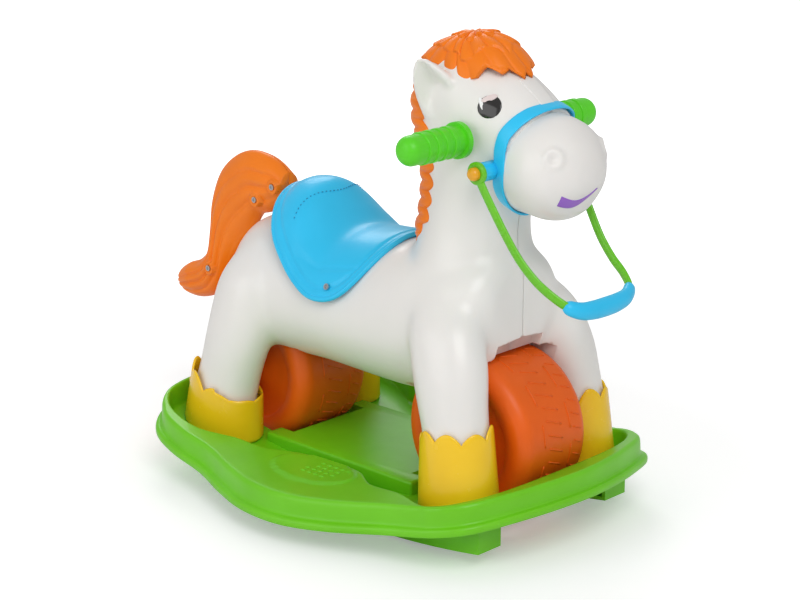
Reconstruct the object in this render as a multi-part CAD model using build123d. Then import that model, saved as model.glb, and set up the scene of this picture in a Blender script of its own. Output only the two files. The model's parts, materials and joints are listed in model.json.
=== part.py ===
"""Rocking horse: a wheeled ride-on horse that stands in a lift-off rocker base.

Millimetres, +Z up, horse facing -Y, +X on the horse's own left. The model is laid out
from the point on the floor under the middle of the rocker, and is written out from the
point on the floor under the middle of the whole object (ORIGIN_Y further back).
"""
import os
from math import cos, radians, sin

from build123d import *

# ---------------------------------------------------------------- driving dimensions
ORIGIN_Y = 47.0            # origin, behind the rocker's middle

WALL = 3.0                 # wall of the horse's moulded shells
FIT = 0.3                  # assembly gap between pieces that do not turn
RUNNING = 0.05             # radial running clearance of shafts and pins

# rocker base
RIM_RADIUS = 1200.0        # side-view radius of the rim's sweep
RUNNER_RADIUS = 1400.0     # side-view radius of the runners
RUNNER_FLAT = 26.0         # half length of the flat that the runners rest on
RUNNER_INNER_X = 99.0
RUNNER_WIDTH = 40.0
RUNNER_HALF_LENGTH = 262.0
RUNNER_WALL = 5.0
RUNNER_BAYS = 6
SKIRT_Z = 26.0             # underside of the skirt, at mid length
LEDGE_Z = 36.0             # top of the skirt, at mid length
RIM_Z = 63.0               # top of the rim, at mid length
LEDGE_WIDTH = 9.0
TUB_WALL = 3.5
FLOOR_TOP_Z = 33.0         # floor inside the rim, at mid length
DECK_TOP_Z = 55.0          # flat platform between the wheels
DECK_HALF_WIDTH = 91.0

# wheels and axles
WHEEL_RADIUS = 100.0
WHEEL_HALF_WIDTH = 60.0
WHEEL_SHOULDER = 18.0
WHEEL_WALL = 3.5
WHEEL_LIP = 34.0           # how far each side wall turns in
AXLE_RADIUS = 6.0
AXLE_Z = 121.0
FRONT_AXLE_Y = -166.0
REAR_AXLE_Y = 216.0
HUB_RADIUS = 13.0
HOUSING_GAP = 6.0          # room around a wheel in the body and in the rocker
BOSS_RADIUS = 13.0
BOSS_END_X = 92.0          # axle bosses reach this far out inside the legs
AXLE_END_X = 100.0
CLIP_RADIUS = 11.0
CLIP_WIDTH = 2.5

# hooves
HOOF_X = 111.0
FRONT_HOOF_Y = -206.0
REAR_HOOF_Y = 224.0
HOOF_HALF_WIDTH = 45.5
FRONT_HOOF_HALF_LENGTH = 55.0
REAR_HOOF_HALF_LENGTH = 64.0
FRONT_HOOF_TOP_Z = 152.0
REAR_HOOF_TOP_Z = 124.0
HOOF_WALL = 3.0
SCALLOP_RADIUS = 20.0

# head fittings
HANDLE_Y = -165.0
HANDLE_Z = 495.0
BAR_RADIUS = 8.0
BAR_WALL = 1.5
BAR_HALF_LENGTH = 150.0
GRIP_RADIUS = 18.0
GRIP_RING_RADIUS = 19.5
GRIP_FLANGE_RADIUS = 22.0
GRIP_INNER_X = 67.5
GRIP_OUTER_X = 169.0
GRIP_RINGS = 4

PIVOT_Y = -204.0
PIVOT_Z = 463.0
PIN_RADIUS = 4.0
PIVOT_BOSS_RADIUS = 13.0
EYELET_RADIUS = 11.0
EYELET_WIDTH = 6.0
EYELET_INNER_X = 80.5
CAP_RADIUS = 8.0
CAP_HEIGHT = 9.0
REIN_RADIUS = 4.6
REIN_GRIP_RADIUS = 9.5
REIN_CORNER_X = 70.0
REIN_FRONT = (-332.0, 316.0)      # Y and Z of the rein's cross bar
REIN_KNEES = ((83.5, -216.0, 442.0), (77.0, -243.0, 396.0), (72.0, -280.0, 346.0))
REIN_KNEE_RADIUS = 70.0
REIN_CORNER_RADIUS = 16.0

EYE_RADIUS = 12.5
EYE_THICK = 1.8
EYE = (-51.0, -192.0, 535.0)
EYE_LOOKS = (-0.84, -0.53, 0.1)
MOUTH_THICK = 1.2
BRIDGE_THICK = 1.6
BRIDGE_HALF_WIDTH = 13.0
PIN_INNER_X = 50.0
REIN_GRIP_REACH = 20.0
SADDLE_WALL = 3.0
TAIL_HALF_WIDTH = 22.0
TAIL_ROUND = 15.0
MANE_HALF_WIDTH = 14.0
SCREW_HEAD_RADIUS = 4.0
SCREW_HEAD_HEIGHT = 2.4
SCREW_SHANK_RADIUS = 1.6
PILOT_RADIUS = 1.65        # hole that the screw's thread bites into
CLEAR_RADIUS = 1.9         # hole that the screw's shank passes through
SADDLE_SCREW = (101.9, 29.0, 283.3)
SADDLE_SCREW_LOOKS = (0.935, 0.0, 0.354)
SADDLE_SCREW_LENGTH = 15.0
TAIL_SCREWS = ((216.0, 366.0), (251.0, 343.0), (349.0, 229.0))
TAIL_SCREW_LENGTH = 32.0
TAIL_SCREW_SINK = 1.6      # depth of the recess round each tail screw's head
TAIL_POST_RADIUS = 4.5

os.makedirs("parts", exist_ok=True)


# ---------------------------------------------------------------- helpers
def save(name, shape):
    """Write one node, moved so that its origin is the whole object's."""
    export_step(Pos(0, -ORIGIN_Y, 0) * shape, f"parts/{name}.step")


def mirror_x(shape):
    return mirror(shape, about=Plane.YZ)


def largest(shape):
    return max(shape.solids(), key=lambda solid: solid.volume)


def ring_section(centre, normal, across, half_width, half_height):
    """Elliptical face across a limb, its width along one given direction."""
    plane = Plane(origin=centre, x_dir=across, z_dir=normal)
    return plane * Ellipse(half_width, half_height)


def end_shifts(stations, grow):
    """How far each section moves along the loft so that its two ends grow too."""
    way = grow if stations[-1][0] > stations[0][0] else -grow
    return [-way] + [0.0] * (len(stations) - 2) + [way]


def loft_level(stations, grow=0.0):
    """Loft through level sections: (z, centre x, centre y, half x, half y)."""
    faces = []
    ends = end_shifts(stations, grow)
    for (z, x, y, half_x, half_y), end in zip(stations, ends):
        faces.append(ring_section((x, y, z + end), (0, 0, 1), (1, 0, 0),
                                  half_x + grow, half_y + grow))
    return loft(faces)


def loft_along(stations, grow=0.0):
    """Loft through upright cross sections: (y, centre z, half x, half z)."""
    faces = []
    ends = end_shifts(stations, grow)
    for (y, z, half_x, half_z), end in zip(stations, ends):
        faces.append(ring_section((0, y + end, z), (0, -1, 0), (1, 0, 0),
                                  half_x + grow, half_z + grow))
    return loft(faces)


def side_cut(points, half_width):
    """Prism with a side-view outline given as (y, z), as wide as 2 * half_width."""
    return extrude(Plane.YZ * make_face(Polyline(*points, close=True)), half_width, both=True)


def rod(centre, radius, x_from, x_to):
    """Cylinder along X between two x values, at (y, z)."""
    y, z = centre
    middle = (x_from + x_to) / 2
    return Pos(middle, y, z) * Rot(0, 90, 0) * Cylinder(radius, abs(x_to - x_from))


def aimed(position, direction):
    return Plane(origin=position, z_dir=direction).location


def screw(position, direction, length):
    """Pan-head screw whose head's underside is at position; the shank runs inwards."""
    head = Pos(0, 0, SCREW_HEAD_HEIGHT / 2) * Cylinder(SCREW_HEAD_RADIUS, SCREW_HEAD_HEIGHT)
    shank = Pos(0, 0, -length / 2) * Cylinder(SCREW_SHANK_RADIUS, length)
    slot = Pos(0, 0, SCREW_HEAD_HEIGHT) * (Box(4.6, 1.0, 1.6) + Box(1.0, 4.6, 1.6))
    return aimed(position, direction) * (head + shank - slot)


# ---------------------------------------------------------------- rocker base
SKIRT_OUTLINE = (
    (0, -320), (60, -313), (118, -297), (168, -275), (192, -236), (207, -170), (235, -98),
    (252, -36), (252, 30), (238, 88), (219, 148), (212, 212), (195, 262), (150, 296),
    (78, 314), (0, 320),
)
POCKET_OUTLINE = (
    (0, -272), (80, -270), (132, -260), (172, -236), (182, -206), (166, -176), (153, -140),
    (148, -92), (122, -48), (119, 0), (126, 48), (151, 92), (160, 140), (180, 178),
    (182, 222), (165, 268), (120, 294), (0, 300),
)


def whole_outline(half):
    """Both sides of an outline, from its left half in order of Y."""
    return list(half) + [(-x, y) for x, y in reversed(half[1:-1])]


def inset_points(points, distance):
    """Points of a closed outline, in anticlockwise order, moved inwards by a distance."""
    moved = []
    count = len(points)
    for i, (u, v) in enumerate(points):
        before, after = points[i - 1], points[(i + 1) % count]
        along = (after[0] - before[0], after[1] - before[1])
        length = (along[0] ** 2 + along[1] ** 2) ** 0.5
        moved.append((u - distance * along[1] / length, v + distance * along[0] / length))
    return moved


def closed_face(points, plane=Plane.XY):
    """Face inside one smooth closed curve through the given points of a plane."""
    places = [plane.from_local_coords((u, v, 0)) for u, v in points]
    return make_face(Edge.make_spline([Vector(p) for p in places], periodic=True))


def sweep_slab(low, high, radius, flat=0.0):
    """Solid between two arcs of the side view, which lie at low and high at mid length."""
    reach = 360.0
    rise = (reach - flat) ** 2 / (2 * radius)
    def curve(level):
        if flat:
            return [
                (-reach, level + rise), (-(reach + flat) / 2, level + rise / 4), (-flat, level),
                (flat, level), ((reach + flat) / 2, level + rise / 4), (reach, level + rise),
            ]
        return [(-reach, level + rise), (0, level), (reach, level + rise)]
    def edges(level):
        p = curve(level)
        if not flat:
            return [ThreePointArc(*p)]
        return [ThreePointArc(*p[0:3]), Line(p[2], p[3]), ThreePointArc(*p[3:6])]
    lower = edges(low)
    upper = edges(high)
    ends = [Line((-reach, low + rise), (-reach, high + rise)),
            Line((reach, low + rise), (reach, high + rise))]
    face = make_face(Curve() + lower + upper + ends)
    return extrude(Plane.YZ * face, reach, both=True)


def upright(face):
    return extrude(face, 260)


def wheel_room(axle_y, gap=HOUSING_GAP):
    return rod((axle_y, AXLE_Z), WHEEL_RADIUS + gap,
               -WHEEL_HALF_WIDTH - gap, WHEEL_HALF_WIDTH + gap)


def deck_block(inset, top):
    front = FRONT_AXLE_Y + 60
    back = REAR_AXLE_Y - 56
    width = 2 * (DECK_HALF_WIDTH - inset)
    length = back - front - 2 * inset
    return Pos(0, (front + back) / 2, top / 2) * Box(width, length, top)


def make_rocker_base():
    skirt_points = whole_outline(SKIRT_OUTLINE)
    pocket_points = whole_outline(POCKET_OUTLINE)
    skirt = upright(closed_face(skirt_points)) & sweep_slab(SKIRT_Z, LEDGE_Z, RIM_RADIUS)
    rim_face = closed_face(inset_points(skirt_points, LEDGE_WIDTH))
    rim = upright(rim_face) & sweep_slab(SKIRT_Z, RIM_Z, RIM_RADIUS)
    pocket_face = closed_face(pocket_points)
    wall_face = closed_face(inset_points(pocket_points, -TUB_WALL))
    pocket = upright(pocket_face) & sweep_slab(FLOOR_TOP_Z, RIM_Z + 60, RIM_RADIUS)
    under = upright(closed_face(inset_points(skirt_points, LEDGE_WIDTH + TUB_WALL)))
    tub = skirt + rim
    tub -= under & sweep_slab(SKIRT_Z - 30, RIM_Z - TUB_WALL, RIM_RADIUS)
    tub += upright(wall_face) & sweep_slab(FLOOR_TOP_Z - TUB_WALL, RIM_Z, RIM_RADIUS)
    tub -= pocket
    tub += deck_block(0, DECK_TOP_Z) & sweep_slab(FLOOR_TOP_Z - TUB_WALL, 200, RIM_RADIUS)
    tub -= deck_block(TUB_WALL, DECK_TOP_Z - TUB_WALL)
    for axle_y in (FRONT_AXLE_Y, REAR_AXLE_Y):
        tub -= wheel_room(axle_y)
    return largest(tub)


def make_runner():
    """Left runner: a curved channel with cross ribs, open towards the middle."""
    outer_x = RUNNER_INNER_X + RUNNER_WIDTH
    middle_x = (RUNNER_INNER_X + outer_x) / 2
    block = Pos(middle_x, 0, 50) * Box(RUNNER_WIDTH, 2 * RUNNER_HALF_LENGTH, 100)
    block &= sweep_slab(0, 100, RUNNER_RADIUS, RUNNER_FLAT)
    block &= sweep_slab(-100, FLOOR_TOP_Z - TUB_WALL - FIT, RIM_RADIUS)
    hollow = Pos(middle_x - RUNNER_WALL, 0, 50)
    hollow *= Box(RUNNER_WIDTH, 2 * (RUNNER_HALF_LENGTH - RUNNER_WALL), 100)
    hollow &= sweep_slab(RUNNER_WALL, 100, RUNNER_RADIUS, RUNNER_FLAT)
    hollow &= sweep_slab(-100, FLOOR_TOP_Z - TUB_WALL - RUNNER_WALL, RIM_RADIUS)
    pitch = 2 * RUNNER_HALF_LENGTH / RUNNER_BAYS
    for i in range(1, RUNNER_BAYS):
        y = -RUNNER_HALF_LENGTH + i * pitch
        hollow -= Pos(middle_x, y, 50) * Box(RUNNER_WIDTH, RUNNER_WALL, 100)
    return block - hollow


# ---------------------------------------------------------------- wheels and axles
def make_wheel(axle_y):
    """Fat barrel wheel: tread, turned-in side walls, one web and a hub tube."""
    w, r, s, t = WHEEL_HALF_WIDTH, WHEEL_RADIUS, WHEEL_SHOULDER, WHEEL_WALL
    lip = r - WHEEL_LIP
    bore = AXLE_RADIUS + RUNNING
    diagonal = s * (1 - cos(radians(45)))
    inner = (s - t) * (1 - cos(radians(45)))
    edges = []
    for side in (1, -1):
        edges += [
            Line((side * (w - s), r), (0, r)),
            ThreePointArc((side * w, r - s), (side * (w - diagonal), r - diagonal),
                          (side * (w - s), r)),
            Line((side * w, lip), (side * w, r - s)),
            Line((side * (w - t), lip), (side * w, lip)),
            Line((side * (w - t), r - s), (side * (w - t), lip)),
            ThreePointArc((side * (w - s), r - t),
                          (side * (w - t - inner), r - t - inner),
                          (side * (w - t), r - s)),
            Line((side * t / 2, r - t), (side * (w - s), r - t)),
            Line((side * t / 2, HUB_RADIUS), (side * t / 2, r - t)),
            Line((side * w, HUB_RADIUS), (side * t / 2, HUB_RADIUS)),
            Line((side * w, bore), (side * w, HUB_RADIUS)),
            Line((side * w, bore), (0, bore)),
        ]
    wheel = revolve(make_face(Curve() + edges), axis=Axis.X)
    return Pos(0, axle_y, AXLE_Z) * wheel


def make_axle(axle_y):
    return rod((axle_y, AXLE_Z), AXLE_RADIUS, -AXLE_END_X, AXLE_END_X)


def make_clips(axle_y):
    """Push-on retaining clips, one on each end of the axle."""
    clips = []
    for side in (1, -1):
        start = side * (BOSS_END_X + FIT)
        clip = rod((axle_y, AXLE_Z), CLIP_RADIUS, start, start + side * CLIP_WIDTH)
        clip -= rod((axle_y, AXLE_Z), AXLE_RADIUS + RUNNING, -200, 200)
        clips.append(clip)
    return clips


# ---------------------------------------------------------------- the horse's outer form
TORSO = (
    (-206, 282, 62, 56), (-182, 272, 92, 84), (-130, 262, 107, 98), (-60, 248, 104, 96),
    (0, 243, 102, 91), (80, 243, 104, 88), (150, 239, 108, 88), (210, 234, 103, 82),
    (255, 231, 82, 64), (282, 230, 42, 34),
)
NECK = (
    (255, 0, -122, 96, 78), (300, 0, -121, 90, 82), (340, 0, -120, 78, 80),
    (380, 0, -124, 67, 74), (420, 0, -132, 63, 74), (460, 0, -138, 64, 82),
    (505, 0, -138, 67, 90), (545, 0, -130, 61, 82), (578, 0, -120, 44, 58),
    (596, 0, -116, 20, 28),
)
SNOUT = (
    (-140, 500, 56, 80), (-190, 498, 58, 78), (-225, 481, 57, 71), (-252, 466, 57, 61),
    (-280, 462, 52, 52),
)
MUZZLE = (
    (-196, 466, 58, 62), (-226, 467, 61, 64), (-256, 464, 62, 63), (-282, 463, 54, 54),
    (-302, 463, 37, 37), (-314, 463, 16, 16),
)
FRONT_LEG = (
    (308, 66, -140, 22, 34), (270, 88, -160, 38, 52), (225, 99, -177, 40, 52),
    (180, 105, -190, 37, 47), (130, 108, -203, 37, 44), (85, 110, -206, 38, 46),
    (50, 111, -206, 38, 47),
)
REAR_LEG = (
    (300, 62, 190, 26, 44), (268, 78, 195, 42, 62), (225, 92, 199, 42, 62),
    (175, 101, 203, 38, 53), (130, 106, 213, 37, 48), (85, 110, 224, 38, 52),
    (50, 111, 226, 38, 54),
)
EAR_ROOT = (50.0, -122.0, 522.0)
EAR_TIP = (82.0, -104.0, 584.0)
EAR_SECTIONS = ((0.0, 27.0, 15.0), (0.45, 25.0, 12.0), (0.8, 15.0, 8.0), (1.0, 4.0, 3.0))


FORELOCK = (
    (-48, 552, 16, 14), (-66, 552, 34, 32), (-92, 552, 46, 52), (-120, 552, 50, 62),
    (-148, 552, 50, 62), (-174, 550, 47, 54), (-196, 548, 38, 32), (-211, 552, 22, 14),
)
FORELOCK_EDGE = (
    (-30, 566), (-60, 560), (-100, 552), (-140, 545), (-180, 556), (-222, 562),
)
NECK_MANE = (
    (-70, 530), (-50, 505), (-40, 470), (-33, 432), (-30, 400), (-28, 372), (-30, 345),
    (-60, 345), (-90, 400), (-90, 500),
)
SADDLE = (
    (-34, 252, 52, 84), (-10, 248, 92, 96), (30, 246, 108, 106), (60, 244, 111, 118),
    (90, 243, 108, 142), (120, 243, 104, 152), (150, 242, 98, 151), (178, 242, 84, 140),
    (204, 242, 60, 112),
)
SADDLE_OUTLINE = (
    (-24, 420), (-24, 334), (0, 292), (28, 262), (60, 258), (108, 292), (146, 326),
    (186, 338), (210, 352), (210, 420),
)
TAIL = (
    (240, 318), (272, 298), (298, 272), (326, 236), (350, 188), (390, 176), (430, 182),
    (434, 208), (400, 226), (368, 246), (357, 280), (353, 322), (338, 362), (310, 390),
    (278, 403), (242, 402), (205, 386), (206, 350),
)


def make_ear():
    root, tip = Vector(*EAR_ROOT), Vector(*EAR_TIP)
    axis = (tip - root).normalized()
    faces = []
    for share, half_long, half_thick in EAR_SECTIONS:
        centre = root + (tip - root) * share
        faces.append(ring_section(centre, axis, (0.25, 1, -0.2), half_long, half_thick))
    return loft(faces)


def head_form(grow=0.0):
    """Neck, skull and snout in one, grown outwards by a distance."""
    return loft_level(NECK, grow) + loft_along(SNOUT, grow)


def horse_form(grow=0.0):
    """The outer form of the body without ears and muzzle, grown outwards by a distance."""
    form = loft_along(TORSO, grow) + head_form(grow)
    for leg in (FRONT_LEG, REAR_LEG):
        limb = loft_level(leg, grow)
        form += limb
        form += mirror_x(limb)
    return form


ARCH_POINTS = ((0, 247), (41, 242), (41, 225), (66, 204), (66, 60))
MUZZLE_SEAM = ((-256, 566), (-243, 530), (-220, 486), (-210, 440), (-207, 396), (-207, 360))
BAND_WIDTH = 11.0
BAND_THICK = 4.0


def front_arch():
    """Prism of the opening between the front legs, where the front wheel shows."""
    outline = [(-x, z) for x, z in reversed(ARCH_POINTS[1:])] + list(ARCH_POINTS)
    face = Plane.XZ * make_face(Polyline(*outline, close=True))
    return Pos(0, FRONT_AXLE_Y - 20, 0) * extrude(face, 160)


def in_front_of(seam, shift=0.0):
    """Everything in front of the bent plane that carries the muzzle seam."""
    back = [(y + shift, z) for y, z in seam]
    return side_cut(back + [(-420, back[-1][1]), (-420, back[0][1])], 200)


def make_body_halves(form):
    """Hollow body, opened for the wheels and split down the middle: right and left."""
    ear = make_ear() - head_form(-WALL)
    shell = form - horse_form(-WALL) + ear + mirror_x(ear)
    for side in (1, -1):
        shell += rod((HANDLE_Y, HANDLE_Z), BAR_RADIUS + 2 * WALL, side * 44, side * 63)
        for axle_y in (FRONT_AXLE_Y, REAR_AXLE_Y):
            start = side * (WHEEL_HALF_WIDTH + HOUSING_GAP + 2 * WALL)
            shell += rod((axle_y, AXLE_Z), BOSS_RADIUS, start, side * BOSS_END_X)
    for axle_y in (FRONT_AXLE_Y, REAR_AXLE_Y):
        shell -= wheel_room(axle_y)
        shell -= rod((axle_y, AXLE_Z), AXLE_RADIUS + RUNNING, -120, 120)
        for side in (1, -1):
            shell -= rod((axle_y, AXLE_Z), CLIP_RADIUS + FIT,
                         side * BOSS_END_X, side * (AXLE_END_X + 2))
    shell -= front_arch()
    shell -= rod((HANDLE_Y, HANDLE_Z), BAR_RADIUS + RUNNING, -120, 120)
    shell -= pivot_rod(PIN_RADIUS + RUNNING, -120, 120)
    shell -= in_front_of(MUZZLE_SEAM)
    shell -= saddle_screw_holes(PILOT_RADIUS)
    shell &= sweep_slab(FLOOR_TOP_Z + HOOF_WALL + 2 * FIT, 900, RIM_RADIUS)
    right = shell & (Pos(-200, 0, 350) * Box(400, 900, 700))
    left = shell & (Pos(200, 0, 350) * Box(400, 900, 700))
    return largest(right), largest(left)


# ---------------------------------------------------------------- pieces of the head
def make_muzzle():
    cup = loft_along(MUZZLE) - loft_along(MUZZLE, -WALL)
    return largest(cup & in_front_of(MUZZLE_SEAM, -FIT))


def pivot_rod(radius, x_from, x_to):
    return rod((PIVOT_Y, PIVOT_Z), radius, x_from, x_to)


def make_noseband(head):
    """Band round the snout over the muzzle seam, with the two rein bosses."""
    outer = loft_along(SNOUT, BAND_THICK) + loft_along(MUZZLE, BAND_THICK)
    strip = in_front_of(MUZZLE_SEAM, BAND_WIDTH / 2) - in_front_of(MUZZLE_SEAM, -BAND_WIDTH / 2)
    band = outer & strip
    for side in (1, -1):
        band += pivot_rod(PIVOT_BOSS_RADIUS, side * 46, side * (EYELET_INNER_X - FIT))
    band -= head
    band -= loft_along(MUZZLE, FIT)
    band -= pivot_rod(PIN_RADIUS + RUNNING, -120, 120)
    return largest(band)


def make_mouth():
    """Crescent smile set into the front of the muzzle."""
    smile = Pos(0, 471) * Circle(49) - Pos(0, 506) * Circle(68)
    prism = Pos(0, -250, 0) * extrude(Plane.XZ * smile, 100)
    skin = loft_along(MUZZLE, MOUTH_THICK) & prism
    return largest(skin - loft_along(MUZZLE, FIT))


def make_bridge_cover(head):
    """Narrow plate over the seam between forelock and noseband."""
    skin = loft_along(SNOUT, BRIDGE_THICK)
    window = side_cut(((-205, 590), (-205, 540), (-236, 515), (-252, 552)), BRIDGE_HALF_WIDTH)
    window -= in_front_of(MUZZLE_SEAM, BAND_WIDTH / 2 + FIT)
    return largest((skin & window) - head)


def make_eye(head):
    """Right eye: a domed inlay on the side of the head."""
    dome = aimed(EYE, EYE_LOOKS) * Cylinder(EYE_RADIUS, 22)
    dome &= head_form(EYE_THICK)
    return largest(dome - head)


def make_forelock(head):
    cap = loft_along(FORELOCK)
    above = side_cut(FORELOCK_EDGE + ((-222, 640), (-30, 640)), 90)
    ear = make_ear()
    return largest((cap & above) - head - ear - mirror_x(ear))


def make_neck_mane(form):
    strip = side_cut(NECK_MANE, MANE_HALF_WIDTH)
    return largest(strip - form)


def make_handle_bar():
    centre = (HANDLE_Y, HANDLE_Z)
    bar = rod(centre, BAR_RADIUS, -BAR_HALF_LENGTH, BAR_HALF_LENGTH)
    return bar - rod(centre, BAR_RADIUS - BAR_WALL, -200, 200)


def make_grip(side):
    """Ribbed hand grip with an inner flange and a domed, closed outer end."""
    pitch = (GRIP_OUTER_X - GRIP_INNER_X) / (GRIP_RINGS + 3)
    length = GRIP_OUTER_X - GRIP_INNER_X
    grip = Pos(0, 0, length / 2) * Cylinder(GRIP_RADIUS, length)
    grip = fillet(grip.edges().sort_by(Axis.Z)[-1], GRIP_RADIUS * 0.8)
    grip += Pos(0, 0, pitch / 2) * Cylinder(GRIP_FLANGE_RADIUS, pitch / 2)
    for i in range(GRIP_RINGS):
        ring = Pos(0, 0, (i + 1.8) * pitch) * Cylinder(GRIP_RING_RADIUS, pitch * 0.55)
        grip += fillet(ring.edges(), GRIP_RING_RADIUS - GRIP_RADIUS)
    bore = BAR_HALF_LENGTH - GRIP_INNER_X + FIT
    grip -= Pos(0, 0, bore / 2) * Cylinder(BAR_RADIUS + RUNNING, bore)
    grip = Pos(GRIP_INNER_X, HANDLE_Y, HANDLE_Z) * Rot(0, 90, 0) * grip
    return grip if side > 0 else mirror_x(grip)


# ---------------------------------------------------------------- rein
def rein_route():
    """Route of the rein's rod from the right pivot round the front to the left one."""
    half = [(-EYELET_INNER_X - EYELET_WIDTH / 2, PIVOT_Y, PIVOT_Z)]
    half += [(-x, y, z) for x, y, z in REIN_KNEES]
    half.append((-REIN_CORNER_X, *REIN_FRONT))
    return half + [(-x, y, z) for x, y, z in reversed(half)]


def rein_path(points):
    radii = [REIN_KNEE_RADIUS] * (len(points) - 2)
    corner = len(points) // 2 - 1
    radii[corner - 1] = REIN_CORNER_RADIUS
    radii[corner] = REIN_CORNER_RADIUS
    return FilletPolyline(*points, radius=radii)


def rein_rod(points, half_thick, half_wide):
    path = rein_path(points)
    plane = Plane(origin=path @ 0, x_dir=(1, 0, 0), z_dir=path % 0)
    return sweep(plane * Ellipse(half_thick, half_wide), path=path)


def make_rein_hoop():
    hoop = rein_rod(rein_route(), EYELET_WIDTH / 2, REIN_RADIUS)
    for side in (1, -1):
        outer = side * (EYELET_INNER_X + EYELET_WIDTH)
        hoop += pivot_rod(EYELET_RADIUS, side * EYELET_INNER_X, outer)
    return hoop - pivot_rod(PIN_RADIUS + RUNNING, -120, 120)


def make_rein_grip():
    """Fat sleeve round the cross bar and the two corners of the rein."""
    route = rein_route()
    corner = len(route) // 2 - 1
    ends = []
    for here, there in ((corner, corner - 1), (corner + 1, corner + 2)):
        start, toward = Vector(*route[here]), Vector(*route[there])
        ends.append(start + (toward - start).normalized() * REIN_GRIP_REACH)
    points = [ends[0], route[corner], route[corner + 1], ends[1]]
    sleeve = rein_rod(points, REIN_GRIP_RADIUS, REIN_GRIP_RADIUS)
    bore = rein_rod(points, REIN_RADIUS + RUNNING, REIN_RADIUS + RUNNING)
    return sleeve - bore


def make_rein_pins():
    length_out = EYELET_INNER_X + EYELET_WIDTH + CAP_HEIGHT / 2
    return [pivot_rod(PIN_RADIUS, side * PIN_INNER_X, side * length_out) for side in (1, -1)]


def make_rein_cap(side):
    """Domed cap pressed on the end of a rein pin."""
    start = EYELET_INNER_X + EYELET_WIDTH + FIT
    cap = Pos(0, 0, CAP_HEIGHT / 2) * Cylinder(CAP_RADIUS, CAP_HEIGHT)
    cap = fillet(cap.edges().sort_by(Axis.Z)[-1], CAP_RADIUS * 0.7)
    hole = CAP_HEIGHT / 2 + FIT
    cap -= Pos(0, 0, hole / 2) * Cylinder(PIN_RADIUS + RUNNING, hole)
    cap = Pos(start, PIVOT_Y, PIVOT_Z) * Rot(0, 90, 0) * cap
    return cap if side > 0 else mirror_x(cap)


# ---------------------------------------------------------------- hooves
def make_hoof(leg, axle_y, centre_y, half_length, top_front, top_back):
    """Left hoof: a cup round the foot of the leg, with a scalloped top edge."""
    stations = (
        (30, HOOF_X, centre_y, HOOF_HALF_WIDTH, half_length),
        (80, HOOF_X, centre_y, HOOF_HALF_WIDTH - 1, half_length - 2),
        (175, HOOF_X - 5, centre_y + 8, HOOF_HALF_WIDTH - 3, half_length - 3),
    )
    front, back = centre_y - half_length - 10, centre_y + half_length + 10
    cup = loft_level(stations)
    cup -= loft_level(stations, -HOOF_WALL) & sweep_slab(
        FLOOR_TOP_Z + FIT + HOOF_WALL, 900, RIM_RADIUS)
    cup &= sweep_slab(FLOOR_TOP_Z + FIT, 900, RIM_RADIUS)
    cup &= side_cut(((front, 0), (back, 0), (back, top_back), (front, top_front)), 300)
    for angle in (-100, -50, 0, 50, 100, 150):
        toward = radians(angle)
        reach_x = HOOF_HALF_WIDTH * cos(toward)
        reach_y = half_length * sin(toward)
        share = (centre_y + reach_y - front) / (back - front)
        top = top_front + (top_back - top_front) * share
        place = Pos(HOOF_X + reach_x, centre_y + reach_y, top + SCALLOP_RADIUS * 0.55)
        cup -= place * Rot(0, 0, angle) * Rot(0, 90, 0) * Cylinder(SCALLOP_RADIUS, 40)
    cup -= loft_level(leg, FIT)
    notch = rod((axle_y, AXLE_Z), BOSS_RADIUS + FIT, 0, AXLE_END_X + 4)
    notch += Pos(0, axle_y, AXLE_Z + 50) * Box(2 * AXLE_END_X + 8, 2 * BOSS_RADIUS + 2 * FIT, 100)
    return largest(cup - notch)


# ---------------------------------------------------------------- saddle and tail
def make_saddle():
    """Dished seat shell with side flaps and a raised back, following the horse's back."""
    seat = loft_along(SADDLE) & side_cut(SADDLE_OUTLINE, 150)
    seat -= loft_along(SADDLE, -SADDLE_WALL)
    seat -= loft_along(TORSO, FIT)
    return largest(seat - saddle_screw_holes(CLEAR_RADIUS))


def saddle_screw_holes(radius):
    hole = aimed(SADDLE_SCREW, SADDLE_SCREW_LOOKS) * Cylinder(radius, 2 * SADDLE_SCREW_LENGTH + 2)
    return hole + mirror_x(hole)


def make_saddle_screws():
    left = screw(SADDLE_SCREW, SADDLE_SCREW_LOOKS, SADDLE_SCREW_LENGTH)
    return [left, mirror_x(left)]


def tail_form(shrink):
    """Left half of the tail's plump outer form, shrunk inwards by a distance."""
    slab = extrude(closed_face(inset_points(TAIL, shrink), Plane.YZ), TAIL_HALF_WIDTH - shrink)
    rim = slab.edges().group_by(Axis.X)[-1]
    return fillet(rim, TAIL_ROUND - shrink)


def make_tail_half(form):
    """Left half of the hollow tail, split from the right one at the middle plane."""
    half = tail_form(0) - tail_form(WALL)
    for place in TAIL_SCREWS:
        half += rod(place, TAIL_POST_RADIUS, 0, TAIL_HALF_WIDTH - WALL / 2)
        half -= rod(place, PILOT_RADIUS, -1, TAIL_SCREW_LENGTH - TAIL_HALF_WIDTH + 3)
    return largest(half - form - loft_along(SADDLE, FIT))


def open_for_screws(half):
    """Right tail half, with through holes and a recess for each screw's head."""
    for place in TAIL_SCREWS:
        half -= rod(place, CLEAR_RADIUS, -TAIL_HALF_WIDTH - 1, 1)
        half -= rod(place, SCREW_HEAD_RADIUS + FIT,
                    -TAIL_HALF_WIDTH - 1, -TAIL_HALF_WIDTH + TAIL_SCREW_SINK)
    return half


def make_tail_screws():
    under_head = -TAIL_HALF_WIDTH + TAIL_SCREW_SINK - FIT
    return [screw((under_head, y, z), (-1, 0, 0), TAIL_SCREW_LENGTH) for y, z in TAIL_SCREWS]


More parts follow.
